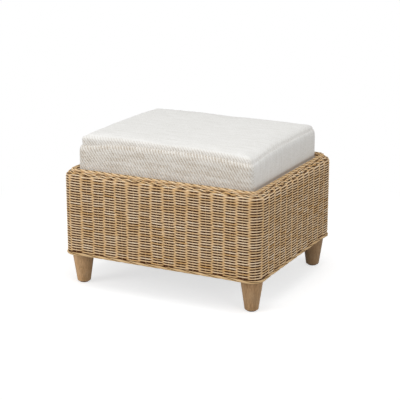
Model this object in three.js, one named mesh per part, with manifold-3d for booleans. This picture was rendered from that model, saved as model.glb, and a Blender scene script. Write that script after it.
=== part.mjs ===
// Outdoor ottoman footstool: a wicker body on a bent-tube frame, turned wooden feet and a loose box cushion.
// Millimetres, +Z up, +X along the length, front towards -Y, origin on the floor under the middle.
import * as THREE from 'three';
import { mergeVertices } from 'three/addons/utils/BufferGeometryUtils.js';
import Module from 'manifold-3d';

const wasm = await Module();
wasm.setup();

// Overall sizes
const bodyLength = 610;
const bodyDepth = 530;
const bodyCornerRadius = 38;
const rimTop = 340;
const hemBottom = 93;

// Gaps kept between neighbouring pieces, and the overrun of cutting tools
const seatGap = 0.3;
const cutOverrun = 5;
const mergeTolerance = 0.001;

// Wicker: round strands woven over and under upright stakes
const strandDiameter = 3.5;
const strandClearance = 0.25;
const strandsPerCourse = 2;
const weaveReliefShare = 0.4;
const wickerThickness = 5;
const frontStakeSpaces = 16;
const sideStakeSpaces = 13;
const rimInnerRadius = 6;

// Plaited border laid on the rim, and the rolled border under the hem
const borderWidth = 14;
const borderHeight = 6.6;
const borderStrands = 3;
const borderLobeShare = 0.17;
const hemDiameter = 8;
const hemProud = 2.5;
const hemStrands = 2;
const hemLobeShare = 0.14;
const hemOverlapLength = 60;

// Aluminium frame
const tubeDiameter = 16;
const tubeWall = 1.6;
const drainHoleDiameter = 5;
const deckRailSize = 16;
const deckRailCorner = 2.5;
const deckRailDrop = 3;
const plateThickness = 3;
const plateSize = 96;
const plateEdgeInset = 9;
const plateChamfer = 30;
const plateInnerChamfer = 34;

// Room that the rolled rim leaves its rail, towards the shoulder and on either side
const shoulderRoom = 2.7;
const railSideGap = 1;

// Webbing deck
const lengthwiseStraps = 5;
const crosswiseStraps = 6;
const strapWidth = 46;
const strapThickness = 1.5;

// Turned feet and what fastens them
const footInsetX = 39;
const footInsetY = 46;
const footTopRadius = 31;
const footBottomRadius = 19.5;
const footTopEdge = 2;
const footBottomEdge = 3.5;
const boltDiameter = 8;
const boltDepth = 42;
const boltProud = 5;
const boltChamfer = 1;
const nutAcrossFlats = 13;
const nutHeight = 6.5;
const glideDiameter = 27;
const glideHeight = 3;
const glideEdge = 1;
const glidePinDiameter = 5;
const glidePinLength = 14;

// Box cushion, with a close gap to the rim at its ends and a finger gap in front and behind
const cushionEndGap = 2;
const cushionFingerGap = 13;
const cushionThickness = 119;
const cushionCornerRadius = 24;
const cushionCrown = 13;
const cushionSag = 4;
const seamDraw = 8;
const fabricThickness = 1.5;

// Zip in the back of the cushion
const zipEndInset = 75;
const zipTapeWidth = 6;
const zipThickness = 2.3;
const zipCoilWidth = 3;
const zipTapeThickness = 1.2;
const sliderLength = 11;
const sliderWidth = 8;
const sliderNeck = 5;
const sliderThickness = 2.5;
const crownLength = 9.4;
const crownWidth = 2;
const crownWall = 1.2;
const crownOpening = 2.4;
const pullLength = 27;
const pullWidth = 8;
const pullThickness = 1.2;
const pullSlotWidth = 3.6;
const pullCorner = 2;
const zipEndStop = 3;

// How sharply the cushion draws in to its seams and flattens into its crown, and the rings it is drawn with
const drawPower = 4;
const crownPower = 4;
const panelShares = [0.3, 0.6, 0.85, 1];
const boxingShares = [0, 0.08, 0.25, 0.5, 0.75, 0.92, 1];
const cushionSideSteps = 3;

// Steps that the round shapes are drawn with
const tubeSides = 12;
const boreSides = 8;
const footSides = 20;
const cornerSteps = 4;
const borderStepsPerStake = 2;
const hemStepsPerOverlap = 3;
const ropeSides = 6;
const smallSides = 16;
const shoulderSteps = 3;
const edgeSteps = 2;

// Sizes and heights that follow from the sizes above
const rimShoulderRadius = wickerThickness + tubeDiameter / 2 + seatGap + shoulderRoom;
const rimWidth = tubeDiameter + 2 * (wickerThickness + railSideGap);
const rimTopFlat = rimWidth - rimShoulderRadius - rimInnerRadius;
const cushionLength = bodyLength - 2 * (rimWidth + cushionEndGap);
const cushionDepth = bodyDepth - 2 * (rimWidth + cushionFingerGap);
const zipLength = cushionLength - 2 * zipEndInset;
const footBottom = glideHeight + seatGap;
const footTop = hemBottom + hemDiameter - plateThickness - seatGap;
const plateBottom = footTop + seatGap;
const plateTop = plateBottom + plateThickness;
const baseRailHeight = plateTop + seatGap + tubeDiameter / 2;
const wallBottom = hemBottom + hemDiameter + seatGap;
const coursePitch = strandsPerCourse * (strandDiameter + strandClearance);
const wallTop = rimTop - borderHeight - seatGap;
const shoulderHeight = wallTop - rimShoulderRadius;
const railInset = rimShoulderRadius - shoulderRoom * Math.SQRT1_2;
const rimRailHeight = shoulderHeight + shoulderRoom * Math.SQRT1_2;
const bendRadius = bodyCornerRadius - railInset;
const postInset = bodyCornerRadius - bendRadius * Math.SQRT1_2;
const strapLift = strapThickness / 2 + seatGap / 2;
const deckRailTop = rimRailHeight - tubeDiameter / 2 - deckRailDrop;
const strapMiddle = deckRailTop + seatGap + strapThickness / 2;
const liningBottom = strapMiddle + strapThickness / 2 + strapLift + seatGap;
const cushionBottom = liningBottom;
const seatHeight = cushionBottom + cushionThickness;
const topSeamHeight = seatHeight - cushionCrown;
const bottomSeamHeight = cushionBottom + cushionSag;
const footX = bodyLength / 2 - footInsetX;
const footY = bodyDepth / 2 - footInsetY;
const sliderRest = zipLength / 2 - sliderLength / 2 - zipEndStop;
const zipHeight = (topSeamHeight + bottomSeamHeight) / 2;

const materials = {
  wicker: new THREE.MeshStandardMaterial({ color: 0xa98b68, roughness: 0.62, metalness: 0 }),
  border: new THREE.MeshStandardMaterial({ color: 0xc3a47c, roughness: 0.58, metalness: 0 }),
  aluminium: new THREE.MeshStandardMaterial({ color: 0x4a4038, roughness: 0.5, metalness: 0.6 }),
  webbing: new THREE.MeshStandardMaterial({ color: 0x5b4c3c, roughness: 0.9, metalness: 0 }),
  footWood: new THREE.MeshStandardMaterial({ color: 0x9a7c5f, roughness: 0.55, metalness: 0 }),
  steel: new THREE.MeshStandardMaterial({ color: 0xb4b4b0, roughness: 0.35, metalness: 1 }),
  nylon: new THREE.MeshStandardMaterial({ color: 0x2e2a27, roughness: 0.7, metalness: 0 }),
  fabric: new THREE.MeshStandardMaterial({ color: 0xded9d0, roughness: 0.95, metalness: 0 }),
  foam: new THREE.MeshStandardMaterial({ color: 0xefe6c8, roughness: 1, metalness: 0 }),
  zipTape: new THREE.MeshStandardMaterial({ color: 0xcfc9bd, roughness: 0.8, metalness: 0 }),
  zipMetal: new THREE.MeshStandardMaterial({ color: 0xb9b3a6, roughness: 0.4, metalness: 0.9 }),
};

const footstool = new THREE.Group();

function addPiece(name, geometry, material, parent = footstool) {
  const piece = new THREE.Mesh(geometry, material);
  piece.name = name;
  parent.add(piece);
  return piece;
}

// A solid whose skin runs through rings of points, all turning anticlockwise seen from the last ring.
function loftGeometry(rings, closesOnFirst) {
  const count = rings[0].length;
  const points = rings.flat();
  const index = [];
  const spans = closesOnFirst ? rings.length : rings.length - 1;
  for (let ring = 0; ring < spans; ring += 1) {
    const next = (ring + 1) % rings.length;
    for (let step = 0; step < count; step += 1) {
      const beyond = (step + 1) % count;
      const low = ring * count;
      const high = next * count;
      index.push(...facesOf(points, [low + step, low + beyond, high + beyond, high + step]));
    }
  }
  if (!closesOnFirst) {
    const last = (rings.length - 1) * count;
    const bottom = points.push(centreOf(rings[0])) - 1;
    const top = points.push(centreOf(rings[rings.length - 1])) - 1;
    for (let step = 0; step < count; step += 1) {
      const beyond = (step + 1) % count;
      index.push(bottom, beyond, step);
      index.push(top, last + step, last + beyond);
    }
  }
  const geometry = new THREE.BufferGeometry().setFromPoints(points);
  geometry.setIndex(index);
  geometry.computeVertexNormals();
  return geometry;
}

// Two triangles for four corners, split along the diagonal that stands higher, so nested skins bend alike.
function facesOf(points, [a, b, c, d]) {
  const rise = points[b].z + points[d].z - points[a].z - points[c].z;
  return rise > mergeTolerance ? [a, b, d, b, c, d] : [a, b, c, a, c, d];
}

function centreOf(ring) {
  const sum = new THREE.Vector3();
  for (const point of ring) {
    sum.add(point);
  }
  return sum.divideScalar(ring.length);
}

function toSolid(geometry) {
  const bare = geometry.clone();
  bare.deleteAttribute('normal');
  bare.deleteAttribute('uv');
  const merged = mergeVertices(bare, mergeTolerance);
  const source = merged.index.array;
  const triangles = [];
  for (let corner = 0; corner < source.length; corner += 3) {
    const [a, b, c] = source.slice(corner, corner + 3);
    if (a !== b && b !== c && c !== a) {
      triangles.push(a, b, c);
    }
  }
  const vertProperties = Float32Array.from(merged.attributes.position.array);
  const triVerts = Uint32Array.from(triangles);
  return new wasm.Manifold(new wasm.Mesh({ numProp: 3, vertProperties, triVerts }));
}

function toGeometry(solid) {
  const mesh = solid.getMesh();
  const geometry = new THREE.BufferGeometry();
  geometry.setAttribute('position', new THREE.BufferAttribute(mesh.vertProperties, mesh.numProp));
  geometry.setIndex(new THREE.BufferAttribute(mesh.triVerts, 1));
  geometry.computeVertexNormals();
  return geometry;
}

function cutAway(geometry, ...tools) {
  let solid = toSolid(geometry);
  for (const tool of tools) {
    solid = solid.subtract(toSolid(tool));
  }
  return toGeometry(solid);
}

// A course round the body: four straight sides joined by quarter circles, set in from the outer face.
function courseLoop(inset) {
  return {
    halfLength: bodyLength / 2 - inset,
    halfDepth: bodyDepth / 2 - inset,
    radius: bodyCornerRadius - inset,
  };
}

// The place on a loop: quarter 0 is the +X side and the corner after it, and so on anticlockwise.
function loopPlace(loop, quarter, onCorner, share) {
  const { halfLength, halfDepth, radius } = loop;
  const reach = quarter % 2 === 0 ? halfLength : halfDepth;
  const run = (quarter % 2 === 0 ? halfDepth : halfLength) - radius;
  const turn = quarter * Math.PI / 2;
  const angle = onCorner ? share * Math.PI / 2 : 0;
  const along = onCorner ? run + radius * Math.sin(angle) : run * (2 * share - 1);
  const out = onCorner ? reach - radius + radius * Math.cos(angle) : reach;
  return {
    x: out * Math.cos(turn) - along * Math.sin(turn),
    y: out * Math.sin(turn) + along * Math.cos(turn),
    normalX: Math.cos(turn + angle),
    normalY: Math.sin(turn + angle),
  };
}

function loopLengths(loop) {
  const arc = loop.radius * Math.PI / 2;
  const sides = [loop.halfDepth, loop.halfLength].map((half) => 2 * (half - loop.radius));
  return { arc, sides, total: 4 * arc + 2 * (sides[0] + sides[1]) };
}

function loopPlaceAt(loop, distance) {
  const { arc, sides } = loopLengths(loop);
  let left = distance;
  for (let quarter = 0; quarter < 4; quarter += 1) {
    const side = sides[quarter % 2];
    if (left < side) {
      return loopPlace(loop, quarter, false, left / side);
    }
    left -= side;
    if (left < arc) {
      return loopPlace(loop, quarter, true, left / arc);
    }
    left -= arc;
  }
  return loopPlace(loop, 0, false, 0);
}

// A point at a height, set out from a place on a loop.
function besidePlace(place, out, height) {
  return new THREE.Vector3(place.x + place.normalX * out, place.y + place.normalY * out, height);
}

// The weave's columns: one at every stake, a stake on each corner, and more where the corners curve.
function weaveColumns() {
  const { arc, sides } = loopLengths(courseLoop(0));
  const columns = [];
  let stake = 0;
  for (let quarter = 0; quarter < 4; quarter += 1) {
    const side = sides[quarter % 2];
    const spaces = quarter % 2 === 0 ? sideStakeSpaces : frontStakeSpaces;
    const space = (side + arc) / spaces;
    const lead = arc / 2 / space;
    columns.push({ quarter, onCorner: false, share: 0, stake: stake + lead });
    for (let step = 1; step < spaces; step += 1) {
      columns.push({ quarter, onCorner: false, share: (step - lead) * space / side, stake: stake + step });
    }
    stake += spaces;
    for (let step = 0; step < cornerSteps; step += 1) {
      const share = step / cornerSteps;
      const before = (share - 0.5) * arc / space;
      columns.push({ quarter, onCorner: true, share, stake: stake + before });
    }
  }
  return columns;
}

// The rim's section, from the hem up the wall, over the shoulder, across the top and down the lining.
function rimSection(distance) {
  const wall = shoulderHeight - wallBottom;
  const shoulder = rimShoulderRadius * Math.PI / 2;
  const edge = rimInnerRadius * Math.PI / 2;
  let left = distance;
  if (left <= wall) {
    return { inset: 0, height: wallBottom + left, outward: 1, upward: 0 };
  }
  left -= wall;
  if (left <= shoulder) {
    const angle = left / rimShoulderRadius;
    return {
      inset: rimShoulderRadius * (1 - Math.cos(angle)),
      height: shoulderHeight + rimShoulderRadius * Math.sin(angle),
      outward: Math.cos(angle),
      upward: Math.sin(angle),
    };
  }
  left -= shoulder;
  if (left <= rimTopFlat) {
    return { inset: rimShoulderRadius + left, height: wallTop, outward: 0, upward: 1 };
  }
  left -= rimTopFlat;
  const angle = Math.min(left / rimInnerRadius, Math.PI / 2);
  const drop = Math.max(left - edge, 0);
  return {
    inset: rimWidth - rimInnerRadius * (1 - Math.sin(angle)),
    height: wallTop - rimInnerRadius * (1 - Math.cos(angle)) - drop,
    outward: -Math.sin(angle),
    upward: Math.cos(angle),
  };
}

function rimSectionLength() {
  const wall = shoulderHeight - wallBottom;
  const turns = (rimShoulderRadius + rimInnerRadius) * Math.PI / 2;
  const lining = wallTop - rimInnerRadius - liningBottom;
  return wall + turns + rimTopFlat + lining;
}

function wickerRing(columns, section, reliefAt) {
  return columns.map((column) => {
    const depth = reliefAt(column);
    const loop = courseLoop(section.inset + section.outward * depth);
    const place = loopPlace(loop, column.quarter, column.onCorner, column.share);
    return new THREE.Vector3(place.x, place.y, section.height - section.upward * depth);
  });
}

// Woven wall: each course stands proud at every second stake and dips behind the ones between.
function wickerWall() {
  const columns = weaveColumns();
  const length = rimSectionLength();
  const courses = Math.round(length / coursePitch);
  const rings = [];
  for (let course = 0; course <= courses; course += 1) {
    const section = rimSection(length * course / courses);
    const atEdge = course === 0 || course === courses;
    rings.push(wickerRing(columns, section, (column) => {
      const wave = atEdge ? 0 : Math.cos(Math.PI * (column.stake + course));
      return weaveReliefShare * strandDiameter * (1 - wave);
    }));
  }
  const back = () => wickerThickness;
  const turnsBack = [liningBottom, wallTop - rimInnerRadius].map((height) => (
    { inset: rimWidth, height, outward: -1, upward: 0 }
  ));
  turnsBack.push({ inset: rimShoulderRadius, height: wallTop, outward: 0, upward: 1 });
  for (const section of turnsBack) {
    rings.push(wickerRing(columns, section, back));
  }
  for (let step = shoulderSteps - 1; step >= 0; step -= 1) {
    const along = shoulderHeight - wallBottom + rimShoulderRadius * Math.PI / 2 * step / shoulderSteps;
    rings.push(wickerRing(columns, rimSection(along), back));
  }
  rings.push(wickerRing(columns, rimSection(0), back));
  return loftGeometry(rings, true);
}

// A twisted rope laid round a loop, with its lobes turning as it goes.
function ropeRing(loop, height, halfWidth, halfHeight, rope) {
  const { total } = loopLengths(loop);
  const rings = [];
  for (let ring = 0; ring < rope.steps; ring += 1) {
    const place = loopPlaceAt(loop, total * ring / rope.steps);
    const twist = 2 * Math.PI * rope.turns * ring / rope.steps;
    const section = [];
    for (let side = 0; side < ropeSides; side += 1) {
      const angle = twist + 2 * Math.PI * side / ropeSides;
      const lobe = Math.cos(rope.strands * 2 * Math.PI * side / ropeSides);
      const reach = 1 - rope.lobeShare * (1 - lobe) / 2;
      const out = halfWidth * reach * Math.cos(angle);
      const up = halfHeight * reach * Math.sin(angle);
      section.push(besidePlace(place, out, height + up));
    }
    rings.push(section.reverse());
  }
  return loftGeometry(rings, true);
}

// Plaited border: every stake's end is turned down over the rim, so one strand crosses at each stake.
function rimBorder() {
  const stakes = 2 * (frontStakeSpaces + sideStakeSpaces);
  const rope = {
    steps: stakes * borderStepsPerStake,
    turns: stakes / borderStrands,
    strands: borderStrands,
    lobeShare: borderLobeShare,
  };
  const loop = courseLoop(rimWidth - borderWidth / 2);
  return ropeRing(loop, rimTop - borderHeight / 2, borderWidth / 2, borderHeight / 2, rope);
}

// Rolled border under the wall: two canes that overlap slowly.
function hemBorder() {
  const loop = courseLoop(hemDiameter / 2 - hemProud);
  const overlaps = Math.round(loopLengths(loop).total / hemOverlapLength);
  const rope = {
    steps: overlaps * hemStepsPerOverlap,
    turns: overlaps / hemStrands,
    strands: hemStrands,
    lobeShare: hemLobeShare,
  };
  return ropeRing(loop, hemBottom + hemDiameter / 2, hemDiameter / 2, hemDiameter / 2, rope);
}

// One round tube bent to the body's outline; the ring is hollow and drains through a hole underneath.
function bentRing(radius, sides) {
  const loop = courseLoop(railInset);
  const rings = [];
  for (let quarter = 0; quarter < 4; quarter += 1) {
    for (let step = 0; step <= cornerSteps; step += 1) {
      const place = loopPlace(loop, quarter, true, step / cornerSteps);
      const section = [];
      for (let side = 0; side < sides; side += 1) {
        const angle = -2 * Math.PI * side / sides;
        section.push(besidePlace(place, radius * Math.cos(angle), radius * Math.sin(angle)));
      }
      rings.push(section);
    }
  }
  return loftGeometry(rings, true);
}

function bentRail() {
  const bore = bentRing(tubeDiameter / 2 - tubeWall, boreSides);
  const drainRadius = drainHoleDiameter / 2;
  const drain = new THREE.CylinderGeometry(drainRadius, drainRadius, tubeDiameter, boreSides);
  drain.rotateX(Math.PI / 2);
  drain.translate(0, -(bodyDepth / 2 - railInset), -tubeDiameter / 2);
  return cutAway(bentRing(tubeDiameter / 2, tubeSides), bore, drain);
}

function tubeShape(radius, boreRadius) {
  const shape = new THREE.Shape().absarc(0, 0, radius, 0, 2 * Math.PI);
  shape.holes.push(new THREE.Path().absarc(0, 0, boreRadius, 0, 2 * Math.PI));
  return shape;
}

// Upright post for the corner at +X +Y, its ends saddle-cut to sit on the bent rails.
function post() {
  const height = rimRailHeight - baseRailHeight;
  const shape = tubeShape(tubeDiameter / 2, tubeDiameter / 2 - tubeWall);
  const tube = new THREE.ExtrudeGeometry(shape, {
    depth: height,
    bevelEnabled: false,
    curveSegments: tubeSides / 2,
  });
  tube.translate(bodyLength / 2 - postInset, bodyDepth / 2 - postInset, baseRailHeight);
  const saddles = [baseRailHeight, rimRailHeight].map((level) => (
    bentRing(tubeDiameter / 2 + seatGap, tubeSides).translate(0, 0, level)
  ));
  return cutAway(tube, ...saddles);
}

function roundedSquare(Kind, half, corner) {
  const outline = new Kind();
  for (let quarter = 0; quarter < 4; quarter += 1) {
    const turn = (quarter + 0.5) * Math.PI / 2;
    const reach = (half - corner) * Math.SQRT2;
    const start = quarter * Math.PI / 2;
    outline.absarc(reach * Math.cos(turn), reach * Math.sin(turn), corner, start, start + Math.PI / 2);
  }
  outline.closePath();
  return outline;
}

// Square rail that carries the webbing between two posts.
function deckRail(postDistance) {
  const half = deckRailSize / 2;
  const shape = roundedSquare(THREE.Shape, half, deckRailCorner);
  shape.holes.push(roundedSquare(THREE.Path, half - tubeWall, deckRailCorner - tubeWall));
  const span = postDistance - tubeDiameter - 2 * seatGap;
  const steps = { depth: span, bevelEnabled: false, curveSegments: edgeSteps };
  const rail = new THREE.ExtrudeGeometry(shape, steps);
  return rail.translate(0, 0, -span / 2).rotateX(Math.PI / 2);
}

function strapPlaces(count, room) {
  return Array.from({ length: count }, (_, number) => (number - (count - 1) / 2) * room / count);
}

// Webbing strap woven over and under the straps that cross it, both ends flat on the rails.
function strap(postDistance, crossings, startsOver) {
  const railEdge = postDistance / 2 - deckRailSize / 2;
  const end = postDistance / 2 + deckRailSize / 2 - deckRailCorner;
  const line = [new THREE.Vector2(-end, 0), new THREE.Vector2(-railEdge, 0)];
  crossings.forEach((crossing, number) => {
    const lift = (number % 2 === 0) === startsOver ? strapLift : -strapLift;
    line.push(new THREE.Vector2(crossing - strapWidth / 2 - strapThickness, lift));
    line.push(new THREE.Vector2(crossing + strapWidth / 2 + strapThickness, lift));
  });
  line.push(new THREE.Vector2(railEdge, 0), new THREE.Vector2(end, 0));
  const half = new THREE.Vector2(0, strapThickness / 2);
  const outline = line.map((point) => point.clone().sub(half));
  outline.push(...line.map((point) => point.clone().add(half)).reverse());
  const shape = new THREE.Shape(outline);
  const band = new THREE.ExtrudeGeometry(shape, { depth: strapWidth, bevelEnabled: false });
  return band.translate(0, 0, -strapWidth / 2).rotateX(Math.PI / 2);
}

// Plate welded under the base rail for the corner at +X +Y, with the hole for the foot's bolt.
function cornerPlate() {
  const outerX = bodyLength / 2 - plateEdgeInset;
  const outerY = bodyDepth / 2 - plateEdgeInset;
  const innerX = outerX - plateSize;
  const innerY = outerY - plateSize;
  const shape = new THREE.Shape();
  shape.moveTo(innerX + plateInnerChamfer, innerY);
  shape.lineTo(outerX, innerY);
  shape.lineTo(outerX, outerY - plateChamfer);
  shape.lineTo(outerX - plateChamfer, outerY);
  shape.lineTo(innerX, outerY);
  shape.lineTo(innerX, innerY + plateInnerChamfer);
  shape.closePath();
  const hole = new THREE.Path();
  hole.absarc(footX, footY, boltDiameter / 2 + seatGap, 0, 2 * Math.PI);
  shape.holes.push(hole);
  return new THREE.ExtrudeGeometry(shape, {
    depth: plateThickness,
    bevelEnabled: false,
    curveSegments: smallSides / 2,
  });
}

// A solid of revolution about Z, from its section's points listed upwards.
function turned(points, sides) {
  const section = points.map(([radius, height]) => new THREE.Vector2(radius, height));
  const lathe = new THREE.LatheGeometry(section, sides);
  return toGeometry(toSolid(lathe.rotateX(Math.PI / 2)));
}

// Quarter-circle edge between two faces, as section points from startAngle a quarter turn on.
function roundedEdge(radius, height, edge, startAngle) {
  return Array.from({ length: edgeSteps + 1 }, (_, step) => {
    const angle = startAngle + Math.PI / 2 * step / edgeSteps;
    return [radius + edge * Math.cos(angle), height + edge * Math.sin(angle)];
  });
}

// Tapered foot, bored above for the hanger bolt and below for the glide's pin.
function foot() {
  const boltBore = boltDiameter / 2 + seatGap;
  const pinBore = glidePinDiameter / 2 + seatGap;
  const pinTop = footBottom + glidePinLength;
  const lowEdge = footBottom + footBottomEdge;
  const highEdge = footTop - footTopEdge;
  return turned([
    [0, pinTop],
    [pinBore, pinTop],
    [pinBore, footBottom],
    ...roundedEdge(footBottomRadius - footBottomEdge, lowEdge, footBottomEdge, -Math.PI / 2),
    ...roundedEdge(footTopRadius - footTopEdge, highEdge, footTopEdge, 0),
    [boltBore, footTop],
    [boltBore, footTop - boltDepth - seatGap],
    [0, footTop - boltDepth - seatGap],
  ], footSides);
}

function footBolt() {
  const radius = boltDiameter / 2;
  const low = footTop - boltDepth;
  const high = plateTop + seatGap + nutHeight + boltProud;
  return turned([
    [0, low],
    [radius - boltChamfer, low],
    [radius, low + boltChamfer],
    [radius, high - boltChamfer],
    [radius - boltChamfer, high],
    [0, high],
  ], smallSides);
}

function footNut() {
  const hexagon = Array.from({ length: 6 }, (_, corner) => {
    const angle = corner * Math.PI / 3;
    const reach = nutAcrossFlats / Math.sqrt(3);
    return new THREE.Vector2(reach * Math.cos(angle), reach * Math.sin(angle));
  });
  const shape = new THREE.Shape(hexagon);
  const hole = new THREE.Path();
  hole.absarc(0, 0, boltDiameter / 2 + seatGap, 0, 2 * Math.PI);
  shape.holes.push(hole);
  return new THREE.ExtrudeGeometry(shape, {
    depth: nutHeight,
    bevelEnabled: false,
    curveSegments: smallSides / 2,
  });
}

// Nylon glide, pressed into the foot by its pin.
function glide() {
  const radius = glideDiameter / 2;
  const pin = glidePinDiameter / 2;
  return turned([
    [0, 0],
    ...roundedEdge(radius - glideEdge, glideEdge, glideEdge, -Math.PI / 2),
    [radius, glideHeight],
    [pin, glideHeight],
    [pin, glideHeight + glidePinLength - seatGap],
    [0, glideHeight + glidePinLength - seatGap],
  ], smallSides);
}

function addCorner(name, xSign, ySign) {
  const corner = new THREE.Group();
  corner.scale.set(xSign, ySign, 1);
  footstool.add(corner);
  addPiece(`frame_post_${name}`, post(), materials.aluminium, corner);
  const plate = addPiece(`corner_plate_${name}`, cornerPlate(), materials.aluminium, corner);
  plate.position.z = plateBottom;
  const stack = new THREE.Group();
  stack.position.set(footX, footY, 0);
  corner.add(stack);
  addPiece(`foot_${name}`, foot(), materials.footWood, stack);
  addPiece(`foot_bolt_${name}`, footBolt(), materials.steel, stack);
  const nut = addPiece(`foot_nut_${name}`, footNut(), materials.steel, stack);
  nut.position.z = plateTop + seatGap;
  addPiece(`glide_${name}`, glide(), materials.nylon, stack);
}

function addDeck() {
  const postsAlongX = bodyLength - 2 * postInset;
  const postsAlongY = bodyDepth - 2 * postInset;
  for (const [name, ySign] of [['front', -1], ['back', 1]]) {
    const rail = addPiece(`deck_rail_${name}`, deckRail(postsAlongX), materials.aluminium);
    rail.rotation.z = Math.PI / 2;
    rail.position.set(0, ySign * postsAlongY / 2, deckRailTop - deckRailSize / 2);
  }
  for (const [name, xSign] of [['left', -1], ['right', 1]]) {
    const rail = addPiece(`deck_rail_${name}`, deckRail(postsAlongY), materials.aluminium);
    rail.position.set(xSign * postsAlongX / 2, 0, deckRailTop - deckRailSize / 2);
  }
  const acrossPlaces = strapPlaces(crosswiseStraps, bodyLength - 2 * rimWidth);
  const alongPlaces = strapPlaces(lengthwiseStraps, bodyDepth - 2 * rimWidth);
  alongPlaces.forEach((place, number) => {
    const band = strap(postsAlongX, acrossPlaces, number % 2 === 0);
    const piece = addPiece(`strap_lengthwise_${number + 1}`, band, materials.webbing);
    piece.position.set(0, place, strapMiddle);
  });
  acrossPlaces.forEach((place, number) => {
    const band = strap(postsAlongY, alongPlaces, number % 2 !== 0);
    const piece = addPiece(`strap_crosswise_${number + 1}`, band, materials.webbing);
    piece.rotation.z = Math.PI / 2;
    piece.position.set(place, 0, strapMiddle);
  });
}

// How far the boxing is drawn in at a height: nothing at its middle, all of seamDraw at its seams.
function drawnIn(height) {
  const share = (height - bottomSeamHeight) / (topSeamHeight - bottomSeamHeight);
  return seamDraw * Math.abs(2 * share - 1) ** drawPower;
}

// A ring of the cushion's outline, set in and drawn to a share of its size, at the height over each place.
function cushionRing(inset, heightAt, share = 1) {
  const loop = {
    halfLength: share * (cushionLength / 2 - inset),
    halfDepth: share * (cushionDepth / 2 - inset),
    radius: share * (cushionCornerRadius - inset),
  };
  const ring = [];
  for (let quarter = 0; quarter < 4; quarter += 1) {
    for (let step = 0; step < cushionSideSteps; step += 1) {
      ring.push(loopPlace(loop, quarter, false, step / cushionSideSteps));
    }
    for (let step = 0; step < cornerSteps; step += 1) {
      ring.push(loopPlace(loop, quarter, true, step / cornerSteps));
    }
  }
  return ring.map((place) => new THREE.Vector3(place.x, place.y, heightAt(place)));
}

// How full the cushion is over a place: 1 in its middle, 0 along its seams.
function fullness(place) {
  const alongShare = Math.min(Math.abs(place.x) / (cushionLength / 2 - seamDraw), 1);
  const acrossShare = Math.min(Math.abs(place.y) / (cushionDepth / 2 - seamDraw), 1);
  return (1 - alongShare ** crownPower) * (1 - acrossShare ** crownPower);
}

function crownHeight(place) {
  return topSeamHeight + cushionCrown * fullness(place);
}

function sagHeight(place) {
  return bottomSeamHeight - cushionSag * fullness(place);
}

function boxingHeights() {
  const low = bottomSeamHeight + fabricThickness + seatGap;
  const high = topSeamHeight - fabricThickness - seatGap;
  return boxingShares.map((share) => low + share * (high - low));
}

// Foam core, with the crown above and drawn in towards both seams.
function cushionCore() {
  const clear = fabricThickness + seatGap;
  const below = (place) => sagHeight(place) + clear;
  const above = (place) => crownHeight(place) - clear;
  const inner = panelShares.filter((share) => share < 1);
  const rings = inner.map((share) => cushionRing(seamDraw, below, share));
  for (const height of boxingHeights()) {
    rings.push(cushionRing(drawnIn(height) + clear, () => height));
  }
  rings.push(...inner.reverse().map((share) => cushionRing(seamDraw, above, share)));
  return loftGeometry(rings, false);
}

// Top panel and bottom panel: cloth over the core, each sewn to the boxing along its seam.
function cushionPanel(lower, upper) {
  const rings = panelShares.map((share) => cushionRing(seamDraw, lower, share));
  rings.push(...[...panelShares].reverse().map((share) => cushionRing(seamDraw, upper, share)));
  return loftGeometry(rings, false);
}

// Boxing strip round the core, slit along the back for the zip.
function cushionBoxing() {
  const heights = boxingHeights();
  const rings = heights.map((height) => cushionRing(drawnIn(height), () => height));
  heights.reverse();
  rings.push(...heights.map((height) => cushionRing(drawnIn(height) + fabricThickness, () => height)));
  const slit = new THREE.BoxGeometry(zipLength, cutOverrun * 2, zipTapeWidth);
  slit.translate(0, cushionDepth / 2, zipHeight);
  return cutAway(loftGeometry(rings, true), slit);
}

// Closed zip: two tapes and the raised coil between them.
function zipChain() {
  const half = zipTapeWidth / 2 - seatGap;
  const coil = zipCoilWidth / 2;
  const shape = new THREE.Shape();
  shape.moveTo(-half, 0);
  shape.lineTo(-half, zipTapeThickness);
  shape.lineTo(-coil, zipTapeThickness);
  shape.lineTo(-coil / 2, zipThickness);
  shape.lineTo(coil / 2, zipThickness);
  shape.lineTo(coil, zipTapeThickness);
  shape.lineTo(half, zipTapeThickness);
  shape.lineTo(half, 0);
  shape.closePath();
  const depth = zipLength - 2 * seatGap;
  const chain = new THREE.ExtrudeGeometry(shape, { depth, bevelEnabled: false });
  return chain.translate(0, 0, -depth / 2).rotateZ(-Math.PI / 2).rotateY(Math.PI / 2).rotateX(Math.PI / 2);
}

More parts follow.
